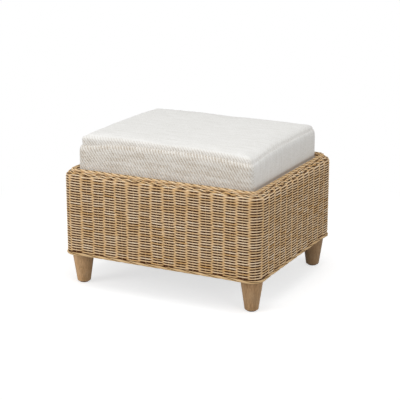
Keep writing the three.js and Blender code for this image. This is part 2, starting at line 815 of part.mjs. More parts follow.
// Slider: a waisted plate that rides the coil, with a raised crown that holds the pull.
function zipSlider() {
  const shape = new THREE.Shape();
  shape.moveTo(-sliderLength / 2, -sliderWidth / 2);
  shape.lineTo(0, -sliderWidth / 2);
  shape.lineTo(sliderLength / 2, -sliderNeck / 2);
  shape.lineTo(sliderLength / 2, sliderNeck / 2);
  shape.lineTo(0, sliderWidth / 2);
  shape.lineTo(-sliderLength / 2, sliderWidth / 2);
  shape.closePath();
  const plate = new THREE.ExtrudeGeometry(shape, { depth: sliderThickness, bevelEnabled: false });
  const height = crownOpening + crownWall;
  const arch = new THREE.Shape();
  arch.moveTo(-crownLength / 2, -crownWall);
  arch.lineTo(-crownLength / 2 + crownWall, -crownWall);
  arch.lineTo(-crownLength / 2 + crownWall, crownOpening);
  arch.lineTo(crownLength / 2 - crownWall, crownOpening);
  arch.lineTo(crownLength / 2 - crownWall, -crownWall);
  arch.lineTo(crownLength / 2, -crownWall);
  arch.lineTo(crownLength / 2, height - crownWall / 2);
  arch.lineTo(crownLength / 2 - crownWall / 2, height);
  arch.lineTo(-crownLength / 2 + crownWall / 2, height);
  arch.lineTo(-crownLength / 2, height - crownWall / 2);
  arch.closePath();
  const crown = new THREE.ExtrudeGeometry(arch, { depth: crownWidth, bevelEnabled: false });
  crown.translate(0, 0, -crownWidth / 2).rotateX(Math.PI / 2).translate(0, 0, sliderThickness);
  return toGeometry(toSolid(plate).add(toSolid(crown))).rotateX(-Math.PI / 2);
}

// Pull: a flat tab whose slot goes round the crown, and whose end bar turns under it.
function zipPull() {
  const bar = pullThickness / 2;
  const slotEnd = Math.hypot(crownLength / 2, crownOpening / 2 + crownWall) + 2 * seatGap;
  const half = pullWidth / 2;
  const shape = new THREE.Shape();
  shape.moveTo(-bar, -half);
  shape.lineTo(pullLength - pullCorner, -half);
  shape.absarc(pullLength - pullCorner, pullCorner - half, pullCorner, -Math.PI / 2, 0);
  shape.absarc(pullLength - pullCorner, half - pullCorner, pullCorner, 0, Math.PI / 2);
  shape.lineTo(-bar, half);
  shape.closePath();
  const slot = new THREE.Path();
  slot.moveTo(bar, -pullSlotWidth / 2);
  slot.lineTo(bar, pullSlotWidth / 2);
  slot.lineTo(slotEnd, pullSlotWidth / 2);
  slot.lineTo(slotEnd, -pullSlotWidth / 2);
  slot.closePath();
  shape.holes.push(slot);
  const tab = new THREE.ExtrudeGeometry(shape, {
    depth: pullThickness,
    bevelEnabled: false,
    curveSegments: edgeSteps,
  });
  return tab.translate(0, 0, -bar).rotateX(-Math.PI / 2);
}

function addCushion() {
  addPiece('cushion_core', cushionCore(), materials.foam);
  const top = cushionPanel((place) => crownHeight(place) - fabricThickness, crownHeight);
  const bottom = cushionPanel(sagHeight, (place) => sagHeight(place) + fabricThickness);
  addPiece('cushion_top_panel', top, materials.fabric);
  addPiece('cushion_bottom_panel', bottom, materials.fabric);
  addPiece('cushion_boxing', cushionBoxing(), materials.fabric);
  const tapeBack = cushionDepth / 2 - fabricThickness;
  const chain = addPiece('cushion_zip_chain', zipChain(), materials.zipTape);
  chain.position.set(0, tapeBack, zipHeight);
  const carriage = new THREE.Group();
  carriage.position.set(sliderRest, tapeBack + zipThickness + seatGap, zipHeight);
  footstool.add(carriage);
  addPiece('cushion_zip_slider', zipSlider(), materials.zipMetal, carriage);
  const pull = addPiece('cushion_zip_pull', zipPull(), materials.zipMetal, carriage);
  pull.position.y = sliderThickness + crownOpening / 2;
}

addPiece('wicker_wall', wickerWall(), materials.wicker);
addPiece('rim_border', rimBorder(), materials.border);
addPiece('hem_border', hemBorder(), materials.border);
addPiece('frame_rim_rail', bentRail(), materials.aluminium).position.z = rimRailHeight;
addPiece('frame_base_rail', bentRail(), materials.aluminium).position.z = baseRailHeight;
addCorner('front_left', -1, -1);
addCorner('front_right', 1, -1);
addCorner('back_left', -1, 1);
addCorner('back_right', 1, 1);
addDeck();
addCushion();

export default footstool;
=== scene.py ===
import math

import bpy
import numpy as np
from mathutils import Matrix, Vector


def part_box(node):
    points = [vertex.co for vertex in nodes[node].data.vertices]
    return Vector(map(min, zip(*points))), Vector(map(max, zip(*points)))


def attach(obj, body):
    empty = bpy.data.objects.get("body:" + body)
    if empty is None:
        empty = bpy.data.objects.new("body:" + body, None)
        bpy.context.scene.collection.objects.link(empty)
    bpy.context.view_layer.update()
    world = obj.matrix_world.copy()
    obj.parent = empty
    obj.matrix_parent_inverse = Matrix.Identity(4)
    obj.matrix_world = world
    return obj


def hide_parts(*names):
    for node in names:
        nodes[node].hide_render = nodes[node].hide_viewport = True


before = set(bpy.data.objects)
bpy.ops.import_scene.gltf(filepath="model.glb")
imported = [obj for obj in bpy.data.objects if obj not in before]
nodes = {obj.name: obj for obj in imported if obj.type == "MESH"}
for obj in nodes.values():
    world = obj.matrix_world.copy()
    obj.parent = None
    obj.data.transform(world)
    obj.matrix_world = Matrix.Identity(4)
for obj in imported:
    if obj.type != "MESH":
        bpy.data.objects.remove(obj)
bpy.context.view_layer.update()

# The stage: a plain pale floor with a white surround, soft lamps above, at the front left and, weakest, at
# the front right, and the camera at the photograph's angle.
VIEW_YAW = math.radians(26.82)
VIEW_DROP = math.radians(15.83)
CAMERA_PLACE = (1.6461, -3.2588, 1.2569)
CAMERA_LENS = 117.6
SENSOR_WIDTH = 36
FLOOR_HALF = 40.0
FLOOR_COLOUR = (0.58, 0.58, 0.58, 1)
FLOOR_GLOW = 0.66
WHITE_FROM, WHITE_BY = 0.55, 1.15
SKY_STRENGTH = 0.43
LAMPS = (
    # name, place, width, watts
    ("lamp_above", (0.3, -0.5, 3.2), 2.6, 33),
    ("lamp_left", (-2.3, -2.8, 1.2), 1.8, 46),
    ("lamp_right", (2.6, -1.5, 1.5), 1.4, 17),
)
LAMPS_AIM = (0, 0, 0.2)

scene = bpy.context.scene
scene.view_settings.view_transform = "Standard"


def add_node(tree, kind, inputs=(), **settings):
    """One shader node, with sockets given as values or as other nodes' sockets."""
    made = tree.nodes.new("ShaderNode" + kind)
    for key, value in settings.items():
        setattr(made, key, value)
    for key, value in dict(inputs).items():
        if isinstance(value, bpy.types.NodeSocket):
            tree.links.new(value, made.inputs[key])
        else:
            made.inputs[key].default_value = value
    return made


def calc(operation, *values):
    """The result of one Math node, in the tree of the first value, which is a socket."""
    return add_node(values[0].id_data, "Math", dict(enumerate(values)), operation=operation).outputs[0]


def times(first, second):
    """One value times another."""
    return calc("MULTIPLY", first, second)


def seen_ray(tree):
    """1 where a ray is the camera's own, mirrored or let through, else 0."""
    path = add_node(tree, "LightPath").outputs
    looked = calc("MAXIMUM", path["Is Camera Ray"], path["Is Glossy Ray"])
    return calc("MAXIMUM", looked, path["Is Transmission Ray"])


def put(name, data):
    """A new object of some data, in the scene."""
    thing = bpy.data.objects.new(name, data)
    scene.collection.objects.link(thing)
    return thing


world = bpy.data.worlds.new("studio")
scene.world = world
world.use_nodes = True
tree = world.node_tree
tree.nodes.clear()
around = add_node(tree, "Background", {"Color": (1, 1, 1, 1), "Strength": SKY_STRENGTH})
behind = add_node(tree, "Background", {"Color": (1, 1, 1, 1), "Strength": 1})
mixed = add_node(tree, "MixShader", {0: seen_ray(tree), 1: around.outputs[0], 2: behind.outputs[0]})
add_node(tree, "OutputWorld", {"Surface": mixed.outputs[0]})

floor_mesh = bpy.data.meshes.new("floor")
h = FLOOR_HALF
floor_mesh.from_pydata([(-h, -h, 0), (h, -h, 0), (h, h, 0), (-h, h, 0)], [], [(0, 1, 2, 3)])
floor = put("floor", floor_mesh)
floor_paint = bpy.data.materials.new("floor_paint")
floor_paint.use_nodes = True
tree = floor_paint.node_tree
tree.nodes.clear()
matt = add_node(tree, "BsdfDiffuse", {"Color": FLOOR_COLOUR})
shown = seen_ray(tree)
glow = add_node(tree, "Emission", {"Strength": times(shown, FLOOR_GLOW)})
lit = add_node(tree, "AddShader", {0: matt.outputs[0], 1: glow.outputs[0]})
white = add_node(tree, "Emission", {"Strength": 1})
own = add_node(tree, "TexCoord").outputs["Object"]
from_middle = add_node(tree, "VectorMath", {0: own}, operation="LENGTH")
far = add_node(tree, "MapRange", {"Value": from_middle.outputs["Value"], "From Min": WHITE_FROM,
                                  "From Max": WHITE_BY}, interpolation_type="SMOOTHSTEP")
faded = add_node(tree, "MixShader", {0: times(far.outputs[0], shown), 1: lit.outputs[0], 2: white.outputs[0]})
add_node(tree, "OutputMaterial", {"Surface": faded.outputs[0]})
floor_mesh.materials.append(floor_paint)

# each lamp is turned to face one point
for name, place, width, watts in LAMPS:
    data = bpy.data.lights.new(name, "AREA")
    data.shape, data.size, data.energy = "DISK", width, watts
    lamp = put(name, data)
    lamp.location = place
    x, y, z = np.subtract(place, LAMPS_AIM)
    lamp.rotation_euler = (math.atan2(math.hypot(x, y), z), 0, math.atan2(y, x) + math.pi / 2)

camera = put("camera", bpy.data.cameras.new("camera"))
camera.data.lens = CAMERA_LENS
camera.data.sensor_width = SENSOR_WIDTH
camera.location = CAMERA_PLACE
camera.rotation_euler = (math.pi / 2 - VIEW_DROP, 0, VIEW_YAW)
scene.camera = camera

# Frame: two rings of round aluminium tube bent to the body's outline and four posts between them, welded
# all round, with square deck rails and corner plates, all in dark bronze powder coat.
MM = 0.001
BODY_LENGTH, BODY_DEPTH, BODY_CORNER = 610.0, 530.0, 38.0
TUBE_RADIUS = 8.0
RAIL_INSET = 14.091
RIM_RAIL_HEIGHT, BASE_RAIL_HEIGHT = 319.009, 109.3
POST_X, POST_Y = 283.905, 243.905
POST_GAP = 7.4
POST_LEVELS = (160, 215, 270)
WELD_RADIUS, WELD_OUT = 1.5, 0.9
WELD_RIPPLE, WELD_RIPPLES = 0.25, 16
RING_STEPS, WELD_STEPS = 240, 48
COAT_PATCHES, COAT_PEEL, COAT_DEEP = 14, 900, 0.00012
FRAME_COLOUR = (0.055, 0.042, 0.032, 1)
FRAME_RUBBED = (0.10, 0.080, 0.064, 1)


def finish(name, roughness, metallic=0.0, shine=0.5):
    """A new node material, its node tree and its shader, which gets the values that are the same all over."""
    material = bpy.data.materials.new(name)
    material.use_nodes = True
    shader = material.node_tree.nodes["Principled BSDF"]
    shader.inputs["Roughness"].default_value = roughness
    shader.inputs["Metallic"].default_value = metallic
    shader.inputs["Specular IOR Level"].default_value = shine
    return material, material.node_tree, shader


def stretched(at, stretch, turn=0.0):
    """A place turned about its third axis and stretched along its axes."""
    inputs = {"Vector": at, "Rotation": (0, 0, turn), "Scale": stretch}
    return add_node(at.id_data, "Mapping", inputs).outputs[0]


def own_place(tree, stretch=(1, 1, 1)):
    """The point on the piece in metres, stretched along its axes."""
    return stretched(add_node(tree, "TexCoord").outputs["Object"], stretch)


def apart(at):
    """The three coordinates of a place."""
    return add_node(at.id_data, "SeparateXYZ", {0: at}).outputs


def noise(at, scale, detail=3.0, rough=0.55):
    """Cloudy values from 0 to 1."""
    inputs = {"Vector": at, "Scale": scale, "Detail": detail, "Roughness": rough}
    return add_node(at.id_data, "TexNoise", inputs).outputs["Fac"]


def ranged(value, low, high, to_low, to_high):
    """A value moved from one range to another, kept inside it."""
    inputs = {"Value": value, "From Min": low, "From Max": high, "To Min": to_low, "To Max": to_high}
    return add_node(value.id_data, "MapRange", inputs, clamp=True).outputs[0]


def mixed_colour(share, first, second):
    """Two colours mixed by a share."""
    return add_node(share.id_data, "Mix", {0: share, 6: first, 7: second}, data_type="RGBA").outputs[2]


def given(shader, **values):
    """Gives a shader's sockets, named with _ for a space, the values of other nodes' sockets."""
    for key, value in values.items():
        shader.id_data.links.new(value, shader.inputs[key.replace("_", " ")])


def bumped(shader, height, distance, strength):
    """Gives a shader the relief of a height, as deep for each 1 of it as a distance in metres."""
    inputs = {"Height": height, "Distance": distance, "Strength": strength}
    given(shader, Normal=add_node(shader.id_data, "Bump", inputs).outputs[0])


def coat(material, *names):
    """Gives CAD nodes, whose shapes stay as they are, their material."""
    for name in names:
        nodes[name].material_slots[0].material = material


def outline(run):
    """Place and outward normal on the body's outline, from the distance run round it in millimetres.

    Four straight sides joined by quarter circles; run 0 is where the right side leaves the front corner.
    """
    halves, r = np.array([BODY_LENGTH / 2, BODY_DEPTH / 2] * 2), BODY_CORNER
    sides = 2 * (halves[[1, 0, 1, 0]] - r)
    arc = r * math.pi / 2
    starts = np.cumsum([0, *(sides + arc)])
    run = np.mod(run, starts[4])
    quarter = np.searchsorted(starts[1:4], run, "right")
    side, past, turn = sides[quarter], run - starts[quarter], quarter * math.pi / 2
    angle = np.clip((past - side) / r, 0, math.pi / 2)
    along = np.where(past < side, past - side / 2, side / 2 + r * np.sin(angle))
    out = halves[quarter] - r + r * np.cos(angle)
    x, y = out * np.cos(turn) - along * np.sin(turn), out * np.sin(turn) + along * np.cos(turn)
    return x, y, np.cos(turn + angle), np.sin(turn + angle)


OUTLINE_RUN = 2 * (BODY_LENGTH + BODY_DEPTH) - 8 * BODY_CORNER + math.tau * BODY_CORNER


def points_at(x, y, z):
    """Points from their three coordinates, each an array or one value for all."""
    return np.stack(np.broadcast_arrays(x, y, z), -1)


def net(rows, columns, wraps_rows, wraps_columns):
    """The corners of each quad of a net of points, as row numbers and column numbers that don't wrap."""
    r, c = np.indices((rows - (not wraps_rows), columns - (not wraps_columns)))
    row = np.stack([r, r, r + 1, r + 1], -1).reshape(-1, 4)
    column = np.stack([c, c + 1, c + 1, c], -1).reshape(-1, 4)
    return row, column


def all_round(count):
    """Angles evenly round a full turn."""
    return math.tau * np.arange(count) / count


def tube_faces(tubes, steps, sides, closed):
    """The net of one tube's quads, and the point numbers of all the tubes' quads."""
    row, column = net(steps, sides, closed, True)
    index = row % steps * sides + column % sides
    return row, column, (index[None] + (np.arange(tubes) * steps * sides)[:, None, None]).reshape(-1, 4)


def tube_ends(tubes, steps, sides):
    """The triangles that close the tubes: over each end's ring, a fan from the ring's first point."""
    second = np.arange(1, sides - 1)
    fan = np.stack([0 * second, second, second + 1], -1)
    first_ring = (np.arange(tubes) * steps * sides)[:, None, None]
    return np.concatenate([first_ring + fan[:, ::-1], first_ring + (steps - 1) * sides + fan]).reshape(-1, 3)


def make_piece(name, points, quads, material, uv=None, fields=None, triangles=None):
    """A mesh piece from points in millimetres, its faces turned to point outwards.

    A closed skin points outwards where its signed volume, the sum over its triangles of a dot (b cross c),
    is above zero.
    """
    points = np.asarray(points, float).reshape(-1, 3)
    a, b, c, d = (points[quads[:, k]] for k in range(4))
    volume = (a * np.cross(b, c)).sum() + (a * np.cross(c, d)).sum()
    loops, starts = quads.ravel(), np.arange(0, quads.size, 4)
    if triangles is not None:
        a, b, c = (points[triangles[:, k]] for k in range(3))
        volume += (a * np.cross(b, c)).sum()
        starts = np.concatenate([starts, quads.size + np.arange(0, triangles.size, 3)])
        loops = np.concatenate([loops, triangles.ravel()])
    mesh = bpy.data.meshes.new(name)
    mesh.vertices.add(len(points))
    mesh.vertices.foreach_set("co", (points * MM).astype(np.float32).ravel())
    mesh.loops.add(len(loops))
    mesh.loops.foreach_set("vertex_index", loops.astype(np.int32))
    mesh.polygons.add(len(starts))
    mesh.polygons.foreach_set("loop_start", starts.astype(np.int32))
    mesh.update(calc_edges=True)
    if uv is not None:
        layer = mesh.uv_layers.new(name="surface")
        layer.data.foreach_set("uv", (uv.reshape(-1, 2) * MM).astype(np.float32).ravel())
    for key, values in (fields or {}).items():
        attribute = mesh.attributes.new(key, "FLOAT", "POINT")
        attribute.data.foreach_set("value", np.asarray(values, np.float32).ravel())
    mesh.polygons.foreach_set("use_smooth", np.ones(len(starts), bool))
    if volume < 0:
        mesh.flip_normals()
    mesh.materials.append(material)
    return put(name, mesh)


def add_tubes(name, centre, first, second, material, closed, sides=28):
    """Tubes along centre lines: each point is the centre plus cos(a) times the first half axis and sin(a)
    times the second, for a all round. centre is tubes by steps by 3, and a half axis may be one for all.
    """
    tubes, steps = centre.shape[:2]
    a = all_round(sides)[:, None]
    first, second = (np.broadcast_to(half, centre.shape)[:, :, None] for half in (first, second))
    points = centre[:, :, None] + np.cos(a) * first + np.sin(a) * second
    quads = tube_faces(tubes, steps, sides, closed)[2]
    ends = None if closed else tube_ends(tubes, steps, sides)
    return make_piece(name, points, quads, material, triangles=ends)


frame_coat, tree, shader = finish("frame_coat", 0.48)
at = own_place(tree)
# random worn patches of the powder coat
wear_and_rim_shade = ranged(noise(at, COAT_PATCHES), 0.52, 0.72, 0, 1)
given(shader, Base_Color=mixed_colour(wear_and_rim_shade, FRAME_COLOUR, FRAME_RUBBED))
bumped(shader, noise(at, COAT_PEEL, 2), COAT_DEEP, 0.6)

run = np.arange(RING_STEPS) / RING_STEPS * OUTLINE_RUN
x, y, nx, ny = outline(run)
for name, height in (("frame_rim_rail", RIM_RAIL_HEIGHT), ("frame_base_rail", BASE_RAIL_HEIGHT)):
    centre = points_at(x - nx * RAIL_INSET, y - ny * RAIL_INSET, height)[None]
    across = TUBE_RADIUS * points_at(nx, ny, 0)
    ring = add_tubes(name.replace("frame_", "bent_"), centre, across, [0, 0, TUBE_RADIUS], frame_coat, True)
    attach(ring, "footstool")
    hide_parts(name)

CORNERS = {"front_left": (-1, -1), "front_right": (1, -1), "back_left": (-1, 1), "back_right": (1, 1)}
for corner, (sx, sy) in CORNERS.items():
    level = [BASE_RAIL_HEIGHT + POST_GAP, *POST_LEVELS, RIM_RAIL_HEIGHT - POST_GAP]
    centre = points_at(sx * POST_X, sy * POST_Y, level)[None]
    post = add_tubes("post_" + corner, centre, [TUBE_RADIUS, 0, 0], [0, TUBE_RADIUS, 0], frame_coat, False)
    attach(post, "footstool")
    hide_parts("frame_post_" + corner)
    turn = all_round(WELD_STEPS)
    axis = points_at(np.cos(turn), np.sin(turn), 0)
    out = axis[:, :2] * TUBE_RADIUS
    diagonal = (out @ np.array([sx, sy])) / math.sqrt(2)
    saddle = np.sqrt(np.maximum(TUBE_RADIUS ** 2 - np.minimum(abs(diagonal), TUBE_RADIUS) ** 2, 0))
    rise = saddle + WELD_OUT + WELD_RIPPLE * np.cos(WELD_RIPPLES * turn)
    beads = points_at(sx * POST_X + out[:, 0], sy * POST_Y + out[:, 1],
                      np.array([BASE_RAIL_HEIGHT + rise, RIM_RAIL_HEIGHT - rise]))
    bead = add_tubes("weld_" + corner, beads, WELD_RADIUS * axis, [0, 0, WELD_RADIUS], frame_coat, True)
    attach(bead, "footstool")
    coat(frame_coat, "corner_plate_" + corner)
coat(frame_coat, *("deck_rail_" + side for side in ("front", "back", "left", "right")))

# Webbing deck: five straps lengthwise and six crosswise, woven over and under each other, of ribbed
# brown polyester tape. Each end lies on its rail and is held by two domed rivets.
RIB_PITCH, WEAVE_DEEP = 0.0022, 0.00025
STRAP_COLOUR = (0.105, 0.075, 0.050, 1)
STRAP_LIGHT = (0.17, 0.125, 0.085, 1)
STRAP_TOP = 309.81
RIVET_RADIUS, RIVET_RISE = 3.4, 0.95
RIVET_SPREAD = 11.0
RIVET_COLOUR, RIVET_TARNISH = (0.42, 0.40, 0.37, 1), (0.24, 0.22, 0.20, 1)
RIVET_SIDES, DOME_ROWS, DOME_SHARE = 14, 6, 0.94
strap_tape, tree, shader = finish("strap_tape", 0.82)
at = own_place(tree)
ribs = [calc("SINE", times(way, math.tau / RIB_PITCH)) for way in apart(at)[:2]]
weave = times(ribs[0], ribs[1])
shade = ranged(calc("ADD", weave, noise(at, 60)), -0.6, 1.8, 0, 1)
given(shader, Base_Color=mixed_colour(shade, STRAP_COLOUR, STRAP_LIGHT))
bumped(shader, weave, WEAVE_DEEP, 0.8)
strap_names = sorted(n for n in nodes if n.startswith("strap_"))
coat(strap_tape, *strap_names)


def add_turned(name, section, places, material, sides):
    """Pieces turned about upright axes: at each place a tube stands that at each height of the section is as
    wide as the section's radius there.
    """
    radius, height = section[:, :1], section[:, 1:]
    centre = np.array(places)[:, None] + height * [0, 0, 1]
    return add_tubes(name, centre, radius * [1, 0, 0], radius * [0, 1, 0], material, False, sides)


def mottled(name, roughness, metallic, first, second, scale, relief, strength=0.5, patches=None):
    """A finish that goes from one colour to another by cloudy values, which give it its relief as well.
    patches are the two values between which all of the change lies.
    """
    material, tree, shader = finish(name, roughness, metallic)
    cloud = noise(own_place(tree), scale)
    if patches:
        cloud = ranged(cloud, *patches, 0, 1)
    given(shader, Base_Color=mixed_colour(cloud, first, second))
    bumped(shader, cloud, relief, strength)
    return material


rivet_steel = mottled("rivet_steel", 0.38, 1.0, RIVET_COLOUR, RIVET_TARNISH, 400, 0.0001)
a = np.linspace(0, math.pi / 2 * DOME_SHARE, DOME_ROWS)
dome = np.stack([RIVET_RADIUS * np.cos(a), RIVET_RISE * np.sin(a)], -1)
places = []
for name in strap_names:
    low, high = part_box(name)
    middle = [(low[k] + high[k]) / 2 / MM for k in (0, 1)]
    for side in (-1, 1):
        for spread in (-RIVET_SPREAD, RIVET_SPREAD):
            if "lengthwise" in name:
                places.append((side * POST_X, middle[1] + spread, STRAP_TOP))
            else:
                places.append((middle[0] + spread, side * POST_Y, STRAP_TOP))
rivets = add_turned("strap_rivets", dome, places, rivet_steel, RIVET_SIDES)
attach(rivets, "footstool")

# Feet: turned and tapered hardwood with upright grain and a soft edge below. The feet on the right and at
# the back are painted darker as painted shade. A hanger bolt and nut hold each one, and a nylon glide is
# under it.
FOOT_X, FOOT_Y = 266.0, 219.0
FOOT_TOP_RADIUS, FOOT_BOTTOM_RADIUS = 32.5, 19.5
FOOT_LOW, FOOT_HIGH = 3.3, 97.7
FOOT_LOW_EDGE, FOOT_HIGH_EDGE = 3.5, 2.0
FOOT_SIDES, EDGE_STEPS, TAPER_STEPS = 96, 7, 26
WOOD_LIGHT = (0.70, 0.435, 0.225, 1)
WOOD_DARK = (0.42, 0.242, 0.108, 1)
WOOD_GREY = (0.57, 0.39, 0.23, 1)
# colour of the painted shade on the right and back feet
WOOD_SHADE = (0.060, 0.034, 0.018, 1)
WOOD_PORE = (0.09, 0.052, 0.030, 1)
# how much painted shade darkens the feet on the right and at the back
FEET_SHADE_RIGHT, FEET_SHADE_BACK, GRAIN_DEEP = 0.27, 0.18, 0.00025
# how far each kind of grain is drawn out along the foot
FIBRE_DRAWN, FIGURE_DRAWN, PORES_DRAWN = (1, 1, 0.06), (1, 1, 0.14), (1, 1, 0.035)
ZINC_LIGHT, ZINC_DARK = (0.52, 0.51, 0.47, 1), (0.36, 0.35, 0.33, 1)
GLIDE_DARK, GLIDE_SCUFFED = (0.028, 0.024, 0.021, 1), (0.075, 0.066, 0.058, 1)
foot_wood, tree, shader = finish("foot_wood", 0.58, shine=0.25)
fibre = noise(own_place(tree, FIBRE_DRAWN), 420, 4, 0.62)
figure = noise(own_place(tree, FIGURE_DRAWN), 70, 3)
pores = ranged(noise(own_place(tree, PORES_DRAWN), 900, 2), 0.60, 0.72, 0, 1)
tone = ranged(calc("ADD", fibre, figure), 0.78, 1.22, 0, 1)
wood = mixed_colour(tone, WOOD_DARK, WOOD_LIGHT)
weathered = ranged(noise(own_place(tree), 22), 0.45, 0.75, 0, 0.55)
wood = mixed_colour(weathered, wood, WOOD_GREY)
wood = mixed_colour(times(pores, 0.55), wood, WOOD_PORE)
# painted shade: the feet on the right and at the back are darkened
feet_shade = [times(calc("GREATER_THAN", way, 0), share)
          for way, share in zip(apart(own_place(tree)), (FEET_SHADE_RIGHT, FEET_SHADE_BACK))]
given(shader, Base_Color=mixed_colour(calc("ADD", *feet_shade), wood, WOOD_SHADE),
      Roughness=ranged(fibre, 0.3, 0.7, 0.66, 0.50))
bumped(shader, calc("SUBTRACT", fibre, pores), GRAIN_DEEP, 0.5)


def rounded(radius, height, edge, start):
    """Points of a quarter circle of radius edge about a point of the section, from the start angle."""
    angle = start + np.linspace(0, math.pi / 2, EDGE_STEPS)
    return np.stack([radius + edge * np.cos(angle), height + edge * np.sin(angle)], -1)


low = rounded(FOOT_BOTTOM_RADIUS - FOOT_LOW_EDGE, FOOT_LOW + FOOT_LOW_EDGE, FOOT_LOW_EDGE, -math.pi / 2)
high = rounded(FOOT_TOP_RADIUS - FOOT_HIGH_EDGE, FOOT_HIGH - FOOT_HIGH_EDGE, FOOT_HIGH_EDGE, 0)
taper = low[-1] + np.linspace(0, 1, TAPER_STEPS)[1:-1, None] * (high[0] - low[-1])
section = np.vstack([low, taper, high])
for corner, (sx, sy) in CORNERS.items():
    place = (sx * FOOT_X, sy * FOOT_Y, 0)
    foot = add_turned("turned_foot_" + corner, section, [place], foot_wood, FOOT_SIDES)
    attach(foot, "footstool")
    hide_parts("foot_" + corner)

zinc = mottled("zinc_plate", 0.34, 1.0, ZINC_LIGHT, ZINC_DARK, 300, 0.00008)
glide_nylon = mottled("glide_nylon", 0.62, 0.0, GLIDE_DARK, GLIDE_SCUFFED, 260, 0.0001, 0.6, (0.5, 0.75))
for corner in CORNERS:
    coat(zinc, "foot_bolt_" + corner, "foot_nut_" + corner)
    coat(glide_nylon, "glide_" + corner)

# Stakes: 58 flat-oval upright canes, one at each corner and even between them, running from inside the hem
# up the wall, over the rolled rim and down the lining. Everything else of the wicker is woven on them.
FRONT_SPACES, SIDE_SPACES = 16, 13
STAKES = 2 * (FRONT_SPACES + SIDE_SPACES)
WALL_FOOT, SHOULDER_HEIGHT, WALL_TOP, LINING_FOOT = 101.3, 317.1, 333.1, 312.0
SHOULDER_RADIUS, RIM_FLAT, RIM_INNER = 16.0, 6.0, 6.0
WALL_RUN = SHOULDER_HEIGHT - WALL_FOOT
SHOULDER_RUN, EDGE_RUN = SHOULDER_RADIUS * math.pi / 2, RIM_INNER * math.pi / 2
LINING_RUN = WALL_TOP - RIM_INNER - LINING_FOOT
SECTION_RUN = WALL_RUN + SHOULDER_RUN + RIM_FLAT + EDGE_RUN + LINING_RUN
SKIN_MIDDLE = 3.2
SKIN_PROUD = 2.4
STAKE_HALF_WIDE, STAKE_HALF_THICK = 2.1, 0.9
STAKE_LOW, STAKE_STEPS, STAKE_TIP = -3.5, 66, 0.02
STAKE_SHADE, STAKE_TONES = 0.465, (0.3, 0.7)
STAKE_WANDER, STRAND_WANDER, WANDER_FADES = 0.9, 0.38, 40
# waves round the body, and the millimetres of height over which each turns by a radian
STAKE_WAVES = ((23, 70), (17, -45), (12, 160))
STRAND_WAVES = ((7, 35), (11, -60), (19, 80))
TONE_DRIFT, TONE_WAVES = 0.13, (1, 2, 3, 5, 9)
PATTERN_SPAN, FIBRE_DEEP = 3000, 0.00016
CANE_LIGHT = (0.980, 0.805, 0.585, 1)
CANE_WARM = (0.685, 0.405, 0.155, 1)
CANE_SHADE = (0.060, 0.014, 0.002, 1)
# colour of the painted half shade where a strand turns behind the skin
CANE_HALF_SHADE = (0.63, 0.385, 0.150, 1)


def rim_section(up):
    """Inset, height and outward angle of the rim's section, from the distance up it in millimetres.

    Straight up the wall, a quarter circle over the shoulder, the flat top, a small quarter circle down
    the inner edge and straight down the lining.
    """
    marks = np.cumsum([WALL_RUN, SHOULDER_RUN, RIM_FLAT, EDGE_RUN])
    first = np.clip((up - marks[0]) / SHOULDER_RADIUS, 0, math.pi / 2)
    second = np.clip((up - marks[2]) / RIM_INNER, 0, math.pi / 2)
    flat = np.clip(up - marks[1], 0, RIM_FLAT)
    inset = SHOULDER_RADIUS * (1 - np.cos(first)) + flat + RIM_INNER * np.sin(second)
    height = (WALL_FOOT + np.minimum(up, WALL_RUN) + SHOULDER_RADIUS * np.sin(first)
              - RIM_INNER * (1 - np.cos(second)) - np.maximum(up - marks[3], 0))
    return inset, height, first + second


def stake_run(stake):
    """Distance round the outline at a stake's number: the corners' middles hold stakes 0, 13, 29 and 42."""
    half_arc = BODY_CORNER * math.pi / 4
    side, front = BODY_DEPTH - 2 * BODY_CORNER, BODY_LENGTH - 2 * BODY_CORNER
    lengths = np.array([side, front, side, front]) + 2 * half_arc
    numbers = np.cumsum([0, SIDE_SPACES, FRONT_SPACES, SIDE_SPACES, FRONT_SPACES])
    places = np.concatenate([[0], np.cumsum(lengths)]) - half_arc
    turns = np.floor(stake / STAKES)
    return np.interp(stake - turns * STAKES, numbers, places) + turns * OUTLINE_RUN


def on_skin(stake, up, depth):
    """Point of the woven skin at a stake's number, a distance up the rim's section and a depth behind it.

    Everything on the skin shares its waviness: stakes lean and wander sideways, and courses rise and fall,
    as sums of sines of whole numbers of waves round the body, the courses' fading out at hem and rim.
    """
    round_it = math.tau * stake / STAKES
    aside = sum(np.sin(wave * round_it + up / tall + wave) for wave, tall in STAKE_WAVES)
    rise = sum(np.sin(wave * round_it + up / tall) for wave, tall in STRAND_WAVES)
    fade = np.clip(np.minimum(up, SHOULDER_RUN + WALL_RUN - up) / WANDER_FADES, 0, 1)
    up = up + STRAND_WANDER * rise * fade
    x, y, nx, ny = outline(stake_run(stake) + STAKE_WANDER * aside)
    inset, height, angle = rim_section(up)
    back = inset + (depth - SKIN_PROUD) * np.cos(angle)
    return points_at(x - nx * back, y - ny * back, height - (depth - SKIN_PROUD) * np.sin(angle))


def field(tree, name):
    """The value that a piece carries at each point under a name."""
    return add_node(tree, "Attribute", attribute_name=name).outputs["Fac"]


def on_surface(tree):
    """The place on the piece's surface in metres, along and across."""
    return add_node(tree, "UVMap", uv_map="surface").outputs[0]


